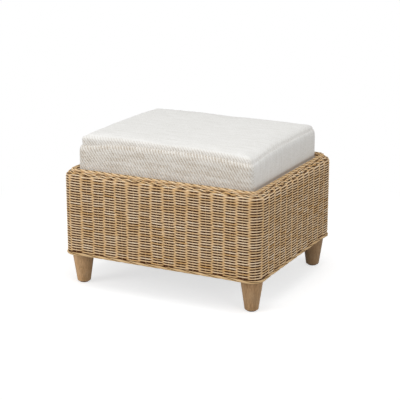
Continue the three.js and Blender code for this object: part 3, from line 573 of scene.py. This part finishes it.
def wicker_finish(name, light, warm):
    """Dyed cane: fibres along each strand and tone from strand to strand, with painted shade from the depth
    field: mid brown where a strand turns behind and near black where it lies behind.
    """
    material, tree, shader = finish(name, 0.6, shine=0.08)
    along = on_surface(tree)
    fibre = noise(stretched(along, (26, 1500, 1)), 1.0, 3, 0.6)
    patches = noise(stretched(along, (30, 60, 1)), 1.0, 2)
    depth, tone = field(tree, "depth"), field(tree, "tone")
    pale = calc("ADD", calc("ADD", times(fibre, 0.55), times(tone, 0.75)), patches)
    colour = mixed_colour(ranged(pale, 0.65, 1.55, 0, 1), warm, light)
    # painted shade: the further behind the skin, the browner and then the darker
    colour = mixed_colour(ranged(depth, 0.12, 0.36, 0, 0.62), colour, CANE_HALF_SHADE)
    colour = mixed_colour(ranged(depth, 0.37, 0.50, 0, 0.97), colour, CANE_SHADE)
    given(shader, Base_Color=colour, Roughness=ranged(fibre, 0.3, 0.7, 0.72, 0.55))
    bumped(shader, fibre, FIBRE_DEEP, 0.6)
    return material


rng = np.random.default_rng(41)


def drift(strands, stake, size, waves):
    """Slow wandering along each strand: sines of whole numbers of waves round the body, added up."""
    total = np.zeros((strands, stake.shape[-1]))
    for wave in waves:
        phase = rng.uniform(0, math.tau, (strands, 1))
        total += rng.normal(0, size, (strands, 1)) * np.sin(math.tau * wave * stake / STAKES + phase)
    return total


def cane_uv(gauge, girth, row, column, canes):
    """Each quad's corners as places along and round its cane, which is one girth round, from a random start
    for each cane, so that no two show the same fibres.
    """
    uv = np.stack([gauge[row], girth * column / column.max()], -1)
    return (uv[None] + rng.uniform(0, PATTERN_SPAN, (canes, 1, 1, 2))).reshape(-1, 2)


def add_strands(name, stake, up, depth, half_up, half_deep, material, paler=1.0, sides=8):
    """Strands running round the body, from each one's centre line in stake numbers, distance up and depth.

    Each point is the centre plus half_up times sin(a) up the section and half_deep times -cos(a) inwards,
    for a all round; half_up may change along the strand. paler below 1 makes the painted shade of what is
    hidden less dark.
    """
    strands, steps = stake.shape
    a = all_round(sides)
    rise = np.broadcast_to(half_up, (strands, steps))[..., None] * np.sin(a)
    around = np.broadcast_to(stake[..., None], (strands, steps, sides))
    deep = depth[..., None] - half_deep * np.cos(a)
    points = on_skin(around, up[..., None] + rise, deep)
    row, column, quads = tube_faces(strands, steps, sides, True)
    gauge = np.arange(steps + 1) * OUTLINE_RUN / steps
    uv = cane_uv(gauge, 4 * np.mean(half_up), row, column, strands)
    tone = np.broadcast_to((0.5 + drift(strands, stake, TONE_DRIFT, TONE_WAVES))[..., None], deep.shape)
    # the depth field carries the finish's painted shade
    fields = {"depth": paler * deep / (2 * SKIN_MIDDLE), "tone": tone}
    return make_piece(name, points, quads, material, uv=uv, fields=fields)


def add_stakes(name, stake, up, material, sides=8):
    """Stakes as tubes drawn in at their ends: each point is the middle of the skin plus the half width
    times sin(a) along the outline and the half thickness times -cos(a) inwards, for a all round.
    """
    count, steps = stake.shape
    a = all_round(sides)
    size = np.where(np.arange(steps) % (steps - 1) == 0, STAKE_TIP, 1.0)[:, None]
    wide = STAKE_HALF_WIDE * size * np.sin(a) * STAKES / OUTLINE_RUN
    deep = np.broadcast_to(SKIN_MIDDLE - STAKE_HALF_THICK * size * np.cos(a), (count, steps, sides))
    points = on_skin(stake[..., None] + wide, np.broadcast_to(up[..., None], deep.shape), deep)
    row, column, quads = tube_faces(count, steps, sides, False)
    uv = cane_uv(up[0], math.tau * STAKE_HALF_WIDE, row, column, count)
    tone = np.broadcast_to(rng.uniform(*STAKE_TONES, (count, 1, 1)), deep.shape)
    # painted shade: a fixed depth darkens the stakes as if in shade between the strands
    fields = {"depth": np.full(deep.shape, STAKE_SHADE), "tone": tone}
    return make_piece(name, points, quads, material, uv=uv, fields=fields)


wicker = wicker_finish("wicker_cane", CANE_LIGHT, CANE_WARM)
stake, up = np.meshgrid(np.arange(STAKES, dtype=float), np.linspace(STAKE_LOW, SECTION_RUN, STAKE_STEPS),
                        indexing="ij")
stakes = add_stakes("wicker_stakes", stake, up, wicker)
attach(stakes, "footstool")
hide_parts("wicker_wall")

# Woven wall: round cane in plain weave, 63 courses up the wall and over its shoulder, each in front of every
# second stake and behind the ones between, neighbours on opposite sides. The lining is woven the same way.
ROW_PITCH = 3.644
FIRST_ROW = 3.6
WALL_ROWS = 62
ROWS_IN_A_PIECE = 16
SHOULDER_FROM, SHOULDER_OVER, SHOULDER_PALER = 195.0, 40, 0.20
FOOT_COURSE, FOOT_COURSE_DEPTH, FOOT_COURSE_HALF_HIGH = -0.9, 4.4, 2.2
CROSS_HALF_HIGH, FRONT_SPREAD, BACK_SPREAD = 2.15, -0.48, 2.05
LINING_ROWS, LINING_END = 9, 1.9
STRAND_HALF_THICK = 1.1
WEAVE_SWING = 1.55
STEPS_PER_SPACE = 8
BEND_SHARPNESS = 1.75
# how far the canes wander, and the whole numbers of waves in it
SWING_DRIFT, SWING_WAVES = 0.03, (3, 7, 11)
CROSSING_DRIFT, CROSSING_WAVES = 0.020, (5, 12, 19)
COURSE_DRIFT, COURSE_WAVES = 0.085, (2, 5, 8, 13)
round_body = np.arange(STAKES * STEPS_PER_SPACE) / STEPS_PER_SPACE


def add_rows(name, first_up, first_number, rows):
    """Courses of plain weave: the depth swings once for each two stakes, as the hyperbolic tangent of a
    cosine, so a cane stays in front of its stake and then crosses quickly.

    The soft cane is a little narrower in front of a stake and spreads behind one, with the same swing.
    """
    stake = np.broadcast_to(round_body, (rows, len(round_body)))
    course = first_number + np.arange(rows)[:, None]
    swing = WEAVE_SWING * np.minimum(1 + drift(rows, stake, SWING_DRIFT, SWING_WAVES), 1)
    aside = drift(rows, stake, CROSSING_DRIFT, CROSSING_WAVES)
    bend = np.tanh(BEND_SHARPNESS * np.cos(math.pi * (stake + course + aside))) / math.tanh(BEND_SHARPNESS)
    depth = SKIN_MIDDLE - swing * bend
    half_up = CROSS_HALF_HIGH + FRONT_SPREAD * np.maximum(bend, 0) + BACK_SPREAD * np.maximum(-bend, 0)
    up = first_up + ROW_PITCH * np.arange(rows)[:, None] + drift(rows, stake, COURSE_DRIFT, COURSE_WAVES)
    if first_number == 0:
        stake = np.vstack([stake, stake[:1]])
        up, depth, half_up = (np.vstack([values, np.full_like(values[:1], last)]) for values, last in (
            (up, FOOT_COURSE), (depth, FOOT_COURSE_DEPTH), (half_up, FOOT_COURSE_HALF_HIGH)))
    # painted shade made less dark up the shoulder, where the light from above reaches
    paler = 1 - SHOULDER_PALER * np.clip((up - SHOULDER_FROM) / SHOULDER_OVER, 0, 1)[..., None]
    piece = add_strands(name, stake, up, depth, half_up, STRAND_HALF_THICK, wicker, paler)
    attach(piece, "footstool")
    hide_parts("wicker_wall")


for part, name in enumerate(("wall_weave_low", "wall_weave_middle", "wall_weave_high", "wall_weave_top")):
    done = part * ROWS_IN_A_PIECE
    add_rows(name, FIRST_ROW + done * ROW_PITCH, done, min(ROWS_IN_A_PIECE, WALL_ROWS - done))
add_rows("lining_weave", SECTION_RUN - LINING_END - (LINING_ROWS - 1) * ROW_PITCH, WALL_ROWS, LINING_ROWS)

# Twining along the top of the shoulder: two canes that twist round each other between the stakes, so
# slanting lengths show. It locks the last course under the border.
TWINE_AT = 232.9
TWINE_CLIMB, TWINE_SWING = 2.5, 1.3
TWINE_TURNS = 39
TWINE_HALF_HIGH, TWINE_HALF_THICK = 1.8, 1.1
TWINE_CANES = 2
TWINE_DRIFT, TWINE_WAVES = 0.12, (2, 5, 9)
# the twining's painted shade is less dark than the wall's
TWINE_PALER = 0.84
stake = np.broadcast_to(round_body, (TWINE_CANES, len(round_body)))
turn = math.tau * (stake * TWINE_TURNS / STAKES + np.arange(TWINE_CANES)[:, None] / TWINE_CANES)
up = TWINE_AT - TWINE_CLIMB * np.sin(turn) + drift(TWINE_CANES, stake, TWINE_DRIFT, TWINE_WAVES)
twine = add_strands("shoulder_twining", stake, up, SKIN_MIDDLE - TWINE_SWING * np.cos(turn), TWINE_HALF_HIGH,
                    TWINE_HALF_THICK, wicker, TWINE_PALER)
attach(twine, "footstool")
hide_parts("wicker_wall")

# Border on the rim: the stake ends turned down and rolled round each other into a flat three-strand band,
# so that a strand comes over the top three times for every two stakes.
BORDER_INSET, BORDER_HEIGHT = 20.6, 337.3
BORDER_SWING, BORDER_LIFT = 3.7, 2.0
BORDER_HALF_WIDE, BORDER_HALF_HIGH = 2.45, 1.65
BORDER_STRANDS, BORDER_TURNS = 3, 29
BORDER_LIGHT, BORDER_WARM = (0.96, 0.76, 0.51, 1), (0.76, 0.50, 0.24, 1)
BORDER_HOLLOW_SHADE = 0.85
ROLL_STEPS, ROLL_TONE = 900, 0.62
ROLL_DRIFT, ROLL_WAVES = 0.10, (1, 3, 7)


def add_rolled(name, inset, height, across, lift, half_wide, half_high, strands, turns, material, hollow_shade,
               sag=0.0, sides=10):
    """Strands rolled round each other along the outline: each centre goes round an oval of half axes across
    and lift, the given whole number of turns, and each strand's own oval turns with it.

    hollow_shade is how dark the middle of the roll is painted, as painted shade, and sag how far it hangs at
    each step along it.
    """
    run = np.arange(ROLL_STEPS) / ROLL_STEPS * OUTLINE_RUN
    x, y, nx, ny = (values[:, None] for values in outline(run))
    a = all_round(sides)
    turn = (math.tau * (turns * run / OUTLINE_RUN + np.arange(strands)[:, None] / strands))[..., None]
    out = (across + half_high * np.cos(a)) * np.cos(turn) - half_wide * np.sin(a) * np.sin(turn)
    up = (lift + half_high * np.cos(a)) * np.sin(turn) + half_wide * np.sin(a) * np.cos(turn)
    points = points_at(x - nx * (inset - out), y - ny * (inset - out), height - sag + up)
    row, column, quads = tube_faces(strands, ROLL_STEPS, sides, True)
    uv = cane_uv(np.append(run, OUTLINE_RUN), math.tau * half_wide, row, column, strands)
    tone = ROLL_TONE + drift(strands, run[None] / OUTLINE_RUN * STAKES, ROLL_DRIFT, ROLL_WAVES)
    # painted shade, darkest at the middle of the roll
    inside = 1 - np.hypot(out, up) / np.hypot(across + half_high, lift + half_high)
    fields = {"depth": np.clip(inside, 0, 1) * hollow_shade, "tone": np.broadcast_to(tone[..., None], out.shape)}
    return make_piece(name, points, quads, material, uv=uv, fields=fields)


border_cane = wicker_finish("border_cane", BORDER_LIGHT, BORDER_WARM)
border = add_rolled("rim_plait", BORDER_INSET, BORDER_HEIGHT, BORDER_SWING, BORDER_LIFT, BORDER_HALF_WIDE,
                    BORDER_HALF_HIGH, BORDER_STRANDS, -BORDER_TURNS, border_cane, BORDER_HOLLOW_SHADE)
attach(border, "footstool")
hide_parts("rim_border")

# Hem: two canes rolled slowly round each other under the last course, a little proud of the wall and
# pulled down at the corners, most at the back right.
HEM_INSET, HEM_HEIGHT = 0.6, 97.0
HEM_HALF_WIDE, HEM_HALF_THICK = 3.4, 2.0
HEM_STRANDS, HEM_TURNS = 2, 18
# front right, back right, back left, front left
HEM_SAGS, HEM_SAG_REACH = np.array([2.2, 4.0, 2.2, 2.2]), 50.0
HEM_LIGHT, HEM_WARM = (0.80, 0.60, 0.37, 1), (0.60, 0.39, 0.19, 1)
HEM_HOLLOW_SHADE = 0.8
hem_cane = wicker_finish("hem_cane", HEM_LIGHT, HEM_WARM)
# the sag fades away from each corner's middle as exp(-(distance over reach) squared)
run = np.arange(ROLL_STEPS)[:, None] / ROLL_STEPS * OUTLINE_RUN
corners = stake_run(np.cumsum([0, SIDE_SPACES, FRONT_SPACES, SIDE_SPACES]))
away = np.abs((run - corners + OUTLINE_RUN / 2) % OUTLINE_RUN - OUTLINE_RUN / 2)
sag = (HEM_SAGS * np.exp(-(away / HEM_SAG_REACH) ** 2)).max(1, keepdims=True)
hem = add_rolled("hem_roll", HEM_INSET, HEM_HEIGHT, HEM_HALF_THICK, HEM_HALF_THICK, HEM_HALF_WIDE,
                 HEM_HALF_THICK, HEM_STRANDS, -HEM_TURNS, hem_cane, HEM_HOLLOW_SHADE, sag)
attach(hem, "footstool")
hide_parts("hem_border")

# Cushion cover: a boxed cover of pale outdoor twill over a foam core, painted lighter on its top and sides
# where most light falls. The panels are sewn to the boxing with plain seams, and it lies on the webbing, flat
# below and crowned above.
HALF_X, HALF_Y = 275.0, 224.0
COVER_LOW, COVER_HIGH = 315.009, 417.009
COVER_TOP, COVER_CROWN, COVER_SAG = 430.5, 2.5, 4.0
TOP_TURN, BOTTOM_TURN = 19.0, 60.0
# front left, front right, back left, back right
SEAM_DIPS, TOP_DIPS, DIP_REACH = (14.0, 10.5, 8.0, 1.0), (4.0, 11.0, 7.0, 3.0), 100.0
LEFT_RISE, BACK_RISE = 5.5, 0.7
RIGHT_GAP, FRONT_LEAN = 5.0, 4.0
SEAM_DRAW, DRAW_SHARPNESS = 5.0, 8
COVER_CORNER = 10.0
EDGE_X, EDGE_Y = HALF_X - SEAM_DRAW, HALF_Y - SEAM_DRAW
CORE_X, CORE_Y = EDGE_X - COVER_CORNER, EDGE_Y - COVER_CORNER
TOP_PUFFS, PUFF_EVERYWHERE = (5.5, 1.5, 3.0, 1.0), 0.6
RESTS_AT = 310.95
FOOT_SPREAD, SPREADS_BELOW, SPREAD_OVER = (0.024, 0.032), 337.0, 24.0
COVER_CELLS, SIM_CELLS = (120, 100), (60, 50)
EDGE_CROWDING = 0.6
SIM_SHARES = np.linspace(0, 1, 11)
# bottom, boxing, top
SWELL_CAPS = (3.2, 3.2, 5.0)
CLOTH_FRAMES = 20
CLOTH_SETTINGS = {"use_pressure": True, "uniform_pressure_force": 4.0, "quality": 5, "tension_stiffness": 25,
                  "compression_stiffness": 25, "bending_stiffness": 0.6}
ZIP_HALF, ZIP_HEIGHT, ZIP_BACK = 200.0, 366.009, 222.3
# half height, length past the zip's ends and furthest back of the zip's bed and of the cloth beside it
ZIP_BEDS = ((3.2, 2, ZIP_BACK), (9, 12, 224.4))
IN_RECESS, RECESS_ROOM = 344, 276.3
SEAM_DEEP, SEAM_WIDE = 0.45, 1.6
RIDGE_RISE, RIDGE_OFF, RIDGE_WIDE = 0.3, 9.0, 4.0
SIDE_SHARES = np.array([0, .012, .03, .06, .10, .15, .21, .28, .35, .41, .455, .472, .485, .5,
                        .515, .528, .545, .59, .65, .72, .79, .85, .90, .94, .97, .988, 1])
MIDDLE_LEVEL = 13


def cover_plan(cells_x, cells_y):
    """Plan places of the panels' net: square rings drawn to a rounded rectangle, rounder and closer together
    towards the edge.
    """
    u, v = np.meshgrid(np.linspace(-1, 1, cells_x + 1), np.linspace(-1, 1, cells_y + 1), indexing="ij")
    u, v = ((1 - EDGE_CROWDING) * t + EDGE_CROWDING * np.sin(math.pi / 2 * t) for t in (u, v))
    level = np.maximum(abs(u), abs(v))
    x, y = EDGE_X * u, EDGE_Y * v
    r = COVER_CORNER * level ** 6
    over_x, over_y = abs(x) - (EDGE_X * level - r), abs(y) - (EDGE_Y * level - r)
    far = np.maximum(np.hypot(over_x, over_y), 1e-9)
    back = np.where((over_x > 0) & (over_y > 0), np.maximum(1 - r / far, 0), 0)
    return x - np.sign(x) * over_x * back, y - np.sign(y) * over_y * back


def from_seam(x, y):
    """Distance from the panel's seam to each place inside it: that of a rounded rectangle."""
    qx, qy = abs(x) - CORE_X, abs(y) - CORE_Y
    return COVER_CORNER - np.hypot(np.maximum(qx, 0), np.maximum(qy, 0)) - np.minimum(np.maximum(qx, qy), 0)


def at_corners(x, y, dips):
    """The dips of the four corners, each fading evenly away from its corner over the dips' reach."""
    total = np.zeros_like(x)
    for (sx, sy), dip in zip(CORNERS.values(), dips):
        total += dip * np.exp(-((HALF_X - sx * x) ** 2 + (HALF_Y - sy * y) ** 2) / DIP_REACH ** 2)
    return total


def turned_up(away, turn):
    """0 at the seam and 1 from a turn's length inside it, as a quarter of an ellipse between."""
    return np.sqrt(1 - (1 - np.clip(away / turn, 0, 1)) ** 2)


def rim_of(values):
    """The values of a net's edge in one round, anticlockwise from its front left corner."""
    return np.concatenate([values[:-1, 0], values[-1, :-1], values[:0:-1, -1], values[0, :0:-1]])


def cover_nets(cells_x, cells_y, shares):
    """The cover at rest: bottom panel, boxing and top panel as nets of points, and the way out at its edge.

    A panel rises from its seam as a quarter of an ellipse, and the boxing bows out between its seams by its
    draw times one less a high power of the distance from its middle.
    """
    x, y = cover_plan(cells_x, cells_y)
    inside = np.maximum(from_seam(x, y), 0)
    bottom = points_at(x, y, COVER_LOW - COVER_SAG * turned_up(inside, BOTTOM_TURN))
    seam = COVER_HIGH - at_corners(x, y, SEAM_DIPS)
    middle = 1 - np.maximum(abs(x) / HALF_X, abs(y) / HALF_Y) ** 2
    full = (COVER_TOP - at_corners(x, y, TOP_DIPS) + COVER_CROWN * middle
            + LEFT_RISE * np.maximum(-x, 0) / HALF_X + BACK_RISE * y / HALF_Y)
    out_x, out_y = x - np.clip(x, -CORE_X, CORE_X), y - np.clip(y, -CORE_Y, CORE_Y)
    out = np.maximum(np.hypot(out_x, out_y), 1e-9)
    puff = PUFF_EVERYWHERE + at_corners(x, y, TOP_PUFFS)
    puff *= np.sin(math.pi * np.clip(inside / COVER_CORNER, 0, 1)) / out
    top = points_at(x + out_x * puff, y + out_y * puff, seam + (full - seam) * turned_up(inside, TOP_TURN))
    x, y, seam, nx, ny = (rim_of(values)[:, None] for values in (x, y, seam, out_x / out, out_y / out))
    bow = (SEAM_DRAW + FRONT_LEAN * np.clip(-ny, 0, 1)) * (1 - abs(2 * shares - 1) ** DRAW_SHARPNESS)
    boxing = points_at(x + nx * bow, y + ny * bow, COVER_LOW + shares * (seam - COVER_LOW))
    return bottom, boxing, top, np.hstack([nx, ny])


def cover_faces(cells_x, cells_y, levels):
    """Point numbers of the cover's nets, which share their seams, its quads and their places in the nets."""
    low = np.arange((cells_x + 1) * (cells_y + 1)).reshape(cells_x + 1, cells_y + 1)
    high = low + low.size
    wall = np.zeros((2 * (cells_x + cells_y), levels), int)
    wall[:, 1:-1] = 2 * low.size + np.arange(len(wall) * (levels - 2)).reshape(len(wall), -1)
    wall[:, 0], wall[:, -1] = rim_of(low), rim_of(high)
    r, c = net(*low.shape, False, False)
    wr, wc = net(*wall.shape, True, False)
    quads = np.vstack([low[r, c][:, ::-1], wall[wr % len(wall), wc], high[r, c]])
    return (low, wall, high), quads, (r, c, wr, wc)


def in_order(bottom, boxing, top):
    """The cover's points in the order of their numbers, the seams' once."""
    return np.vstack([bottom.reshape(-1, 3), top.reshape(-1, 3), boxing[:, 1:-1].reshape(-1, 3)])


def swelling():
    """How a coarser cover's points move when it is blown up like a filled bag, by cloth simulation."""
    rest = in_order(*cover_nets(*SIM_CELLS, SIM_SHARES)[:3])
    numbers, quads, _ = cover_faces(*SIM_CELLS, len(SIM_SHARES))
    bag = make_piece("cover_trial", rest, quads, None)
    cloth = bag.modifiers.new("Cloth", "CLOTH")
    for key, value in CLOTH_SETTINGS.items():
        setattr(cloth.settings, key, value)
    cloth.settings.effector_weights.gravity = 0
    for frame_number in range(1, CLOTH_FRAMES + 1):
        scene.frame_set(frame_number)
    seen = bag.evaluated_get(bpy.context.evaluated_depsgraph_get())
    moved = np.empty(rest.size, np.float32)
    seen.data.vertices.foreach_get("co", moved)
    scene.frame_set(1)
    bpy.data.objects.remove(bag)
    moved = moved.reshape(-1, 3) / MM - rest
    return [moved[number] for number in numbers]


def capped(move, cap):
    """A move kept under a cap, smoothly: cap times the hyperbolic tangent of its length over the cap."""
    size = np.linalg.norm(move, axis=-1, keepdims=True)
    return move * cap * np.tanh(size / cap) / np.maximum(size, 1e-9)


def finer(values, rows, columns, wraps):
    """A net of values read at more places, straight between its own."""
    if wraps:
        values = np.concatenate([values, values[:1]])
    for axis, count in ((0, rows + wraps), (1, columns)):
        last = values.shape[axis] - 1
        at = np.linspace(0, last, count)
        low = np.minimum(at.astype(int), last - 1)
        share = np.expand_dims(at - low, (1 - axis, 2))
        values = values.take(low, axis) * (1 - share) + values.take(low + 1, axis) * share
    return values[:rows]


bottom, boxing, top, normal = cover_nets(*COVER_CELLS, SIDE_SHARES)
for panel, move, cap in zip((bottom, boxing, top), swelling(), SWELL_CAPS):
    panel += finer(capped(move, cap), *panel.shape[:2], panel is boxing)
for panel in (bottom, top, boxing):
    panel[..., 0] -= RIGHT_GAP * np.clip(panel[..., 0] / HALF_X, 0, 1)
bottom[..., 2] = np.maximum(bottom[..., 2], RESTS_AT)
for panel in (bottom, boxing):
    sunk = np.clip((SPREADS_BELOW - panel[..., 2]) / SPREAD_OVER, 0, 1)
    panel[..., :2] *= 1 + np.array(FOOT_SPREAD) * (sunk * sunk * (3 - 2 * sunk))[..., None]
plan_x, plan_y = cover_plan(*COVER_CELLS)
to_edge = from_seam(plan_x, plan_y)
ridge = RIDGE_RISE * np.exp(-((to_edge - RIDGE_OFF) / RIDGE_WIDE) ** 2)
top[..., 2] += ridge - SEAM_DEEP * np.exp(-(to_edge / SEAM_WIDE) ** 2)
x, y, z = (boxing[..., k] for k in range(3))
for half_high, past_end, furthest in ZIP_BEDS:
    bed = (y > 0) & (abs(z - ZIP_HEIGHT) < half_high) & (abs(x) < ZIP_HALF + past_end)
    y[bed] = np.minimum(y[bed], furthest)
x[z < IN_RECESS] = np.clip(x[z < IN_RECESS], -RECESS_ROOM, RECESS_ROOM)

TWILL_PITCH, YARN_PITCH, TWILL_DEEP = 0.0075, 0.0025, 0.00040
TWILL_ANGLE = math.radians(56)
CLOTH_LIGHT, CLOTH_DARK = (0.900, 0.875, 0.825, 1), (0.440, 0.350, 0.250, 1)
# colour of the painted shade in the seams' creases and the crease at the rim
CLOTH_SHADE = (0.300, 0.220, 0.150, 1)
# the cloth's colours where it is painted as lit
CLOTH_PAINTED_LIT_LIGHT, CLOTH_PAINTED_LIT_DARK = (0.945, 0.938, 0.915, 1), (0.780, 0.767, 0.728, 1)
LINE_WANDER = 0.0030
SLUB_DRAWN, STREAK_DRAWN, STREAK_TURN = (300, 45, 1), (14, 95, 1), -0.22
cloth_twill, tree, shader = finish("cloth_twill", 0.92, shine=0.2)
along = on_surface(tree)
u, v, _ = apart(along)
sine, cosine = math.sin(TWILL_ANGLE), math.cos(TWILL_ANGLE)
across = calc("ADD", times(u, sine), times(v, cosine))
down = calc("SUBTRACT", times(v, sine), times(u, cosine))
wander = times(noise(along, 130, 2), LINE_WANDER)
wale_turn = times(calc("ADD", across, wander), math.tau / TWILL_PITCH)
yarn_turn = times(down, math.tau / YARN_PITCH)
wale_wave = calc("SINE", wale_turn)
yarn_wave = calc("SINE", calc("ADD", yarn_turn, times(wale_turn, 0.5)))
relief = calc("ADD", wale_wave, times(yarn_wave, 0.5))
fleck = noise(along, 520, 3, 0.65)
slub = noise(stretched(along, SLUB_DRAWN), 1.0, 2)
streak = noise(stretched(along, STREAK_DRAWN, STREAK_TURN), 1.0, 3)
# painted light: lightens the cloth and fades its lines where the cover is painted as lit
painted_light = field(tree, "painted_light")
level = times(relief, ranged(painted_light, 0.80, 1, 0.75, 0.12))
for cloud, weight in ((fleck, 6.0), (slub, 2.5), (streak, 3.0)):
    level = calc("ADD", level, times(calc("SUBTRACT", cloud, 0.5), weight))
level = ranged(level, -1.7, 0.9, 0, 1)
light = mixed_colour(painted_light, CLOTH_LIGHT, CLOTH_PAINTED_LIT_LIGHT)
dark = mixed_colour(painted_light, CLOTH_DARK, CLOTH_PAINTED_LIT_DARK)
woven = mixed_colour(level, dark, light)
# painted shade in the seams' creases and the crease where the boxing meets the rim
seam_and_rim_shade = times(field(tree, "seam"), 0.8)
given(shader, Base_Color=mixed_colour(seam_and_rim_shade, woven, CLOTH_SHADE))
shader.inputs["Sheen Weight"].default_value = 0.15
bumped(shader, relief, TWILL_DEEP, ranged(painted_light, 0.3, 1, 0.8, 0.15))

# The cloth's place on each panel runs on down its edge, and round the boxing along its middle. On the sides
# the boxing's is turned, so that its lines slant the other way.
SIDE_BLEND, EDGE_BELOW = 12, 6
_, quads, (r, c, wr, wc) = cover_faces(*COVER_CELLS, len(SIDE_SHARES))
side_edge = np.clip((abs(plan_x) - abs(plan_y) - (HALF_X - HALF_Y)) / SIDE_BLEND + 0.5, 0, 1)
drop = np.maximum(top[..., 2].max() - EDGE_BELOW - top[..., 2], 0)
panel_uv = np.stack([plan_x + np.sign(plan_x) * drop * side_edge,
                     plan_y + np.sign(plan_y) * drop * (1 - side_edge)], -1)[r, c]
middle = boxing[:, MIDDLE_LEVEL, :2]
gauge = np.append(0, np.cumsum(np.linalg.norm(np.roll(middle, -1, 0) - middle, axis=1)))
on_side = wr.min(1) % sum(COVER_CELLS) >= COVER_CELLS[0]
box_uv = np.stack([gauge[wr] * np.where(on_side, -1, 1)[:, None],
                   (SIDE_SHARES * (COVER_HIGH - COVER_LOW))[wc]], -1)
box_uv[on_side] = box_uv[on_side][..., ::-1]
uv = np.concatenate([panel_uv[:, ::-1], box_uv, panel_uv])

# The first field is painted light: 1 in the middle of a panel and less at its sewn edge, and on the boxing
# high on the sides, low in front and higher towards the boxing's foot. Seam is painted shade: in the crease
# of the panels' seams and in the crease where the boxing meets the rim, most on the right.
# amounts of painted light on the cover
SEAM_LIT, SEWN_SIDES_MORE, LIT_RISES_OVER = 0.25, 0.55, 12
LOW_FROM, LOW_OVER = 372, 32
SIDES_LIT, SIDES_LOW_MORE, FRONT_LOW_LIT = 0.88, 0.12, 0.30
# amounts of painted shade in the seams' creases and in the crease at the rim
SEAM_SHADE, SEAM_SHADE_WIDE = 0.1, 1.5
RIM_SHADE_HEIGHT, RIM_SHADE_WIDE, RIM_SHADE_EVEN, RIM_SHADE_RIGHT = 336.8, 4.4, 0.12, 0.85
height = boxing[:, 1:-1, 2]
side_way = normal[:, :1] ** 2
# painted shade along the panels' seams
near_seam = SEAM_SHADE * np.exp(-(to_edge / SEAM_SHADE_WIDE) ** 2).ravel()
# painted shade in the crease where the boxing meets the rim, most on the right side
wear_and_rim_shade = np.exp(-((height - RIM_SHADE_HEIGHT) / RIM_SHADE_WIDE) ** 2)
wear_and_rim_shade *= RIM_SHADE_EVEN + RIM_SHADE_RIGHT * np.clip(normal[:, :1], 0, 1)
# painted light: high in the middle of the panels and on the boxing's sides, more towards the boxing's foot
sewn = SEAM_LIT + SEWN_SIDES_MORE * side_edge
panel_lit = (sewn + (1 - sewn) * np.clip(to_edge / LIT_RISES_OVER, 0, 1)).ravel()
low_down = np.clip((LOW_FROM - height) / LOW_OVER, 0, 1)
boxing_lit = side_way * (SIDES_LIT + SIDES_LOW_MORE * low_down) + (1 - side_way) * FRONT_LOW_LIT * low_down
fields = {"painted_light": np.concatenate([panel_lit, panel_lit, boxing_lit.ravel()]),
          "seam": np.concatenate([near_seam, near_seam, wear_and_rim_shade.ravel()])}
cover = make_piece("cushion_cover", in_order(bottom, boxing, top), quads, cloth_twill, uv=uv, fields=fields)
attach(cover, "cushion")
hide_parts("cushion_core", "cushion_top_panel", "cushion_bottom_panel", "cushion_boxing")

# Zip: a coil zip in the middle of the back of the boxing, its tapes sewn under the cloth's edges. The
# slider and its pull are cast metal.
TAPE_THICK, TAPE_HALF = 0.5, 2.9
TAPE_OUT, TAPE_SHORT, TAPE_STEPS = 0.55, 0.5, 120
TAPE_RIB, RIB_DEEP = 0.0009, 0.0001
COIL_PITCH, COIL_HALF, COIL_DEEP = 1.5, 1.15, 0.5
COIL_OUT, COIL_SHORT, COIL_STEPS = 223.6, 2, 8
WIRE_RADIUS = 0.34
TAPE_DARK, TAPE_LIGHT = (0.52, 0.49, 0.43, 1), (0.62, 0.59, 0.53, 1)
COIL_LIGHT, COIL_DARK = (0.60, 0.56, 0.49, 1), (0.50, 0.47, 0.41, 1)
METAL_LIGHT, METAL_DARK = (0.55, 0.52, 0.47, 1), (0.36, 0.34, 0.31, 1)
zip_tape, tree, shader = finish("zip_tape", 0.85)
rib = calc("SINE", times(apart(own_place(tree))[0], math.tau / TAPE_RIB))
given(shader, Base_Color=mixed_colour(ranged(rib, -1, 1, 0, 1), TAPE_DARK, TAPE_LIGHT))
bumped(shader, rib, RIB_DEEP, 0.6)
zip_coil = mottled("zip_coil", 0.45, 0.0, COIL_LIGHT, COIL_DARK, 500, 0.00005)
zip_metal = mottled("zip_metal", 0.36, 1.0, METAL_LIGHT, METAL_DARK, 350, 0.00006)

step = np.linspace(-ZIP_HALF + TAPE_SHORT, ZIP_HALF - TAPE_SHORT, TAPE_STEPS)
tape_line = points_at(step, ZIP_BACK + TAPE_OUT, ZIP_HEIGHT)[None]
tape = add_tubes("zip_tapes", tape_line, [0, TAPE_THICK, 0], [0, 0, TAPE_HALF], zip_tape, False, sides=12)
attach(tape, "cushion")
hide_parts("cushion_zip_chain")
turns = int(2 * (ZIP_HALF - COIL_SHORT) / COIL_PITCH)
turn = np.linspace(0, math.tau * turns, turns * COIL_STEPS + 1)
coil_line = points_at(COIL_SHORT - ZIP_HALF + COIL_PITCH * turn / (math.tau),
                      COIL_OUT + COIL_DEEP * np.cos(turn), ZIP_HEIGHT + COIL_HALF * np.sin(turn))[None]
coil = add_tubes("zip_coil", coil_line, [WIRE_RADIUS, 0, 0], [0, WIRE_RADIUS, 0], zip_coil, False, sides=5)
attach(coil, "cushion")
coat(zip_metal, "cushion_zip_slider", "cushion_zip_pull")
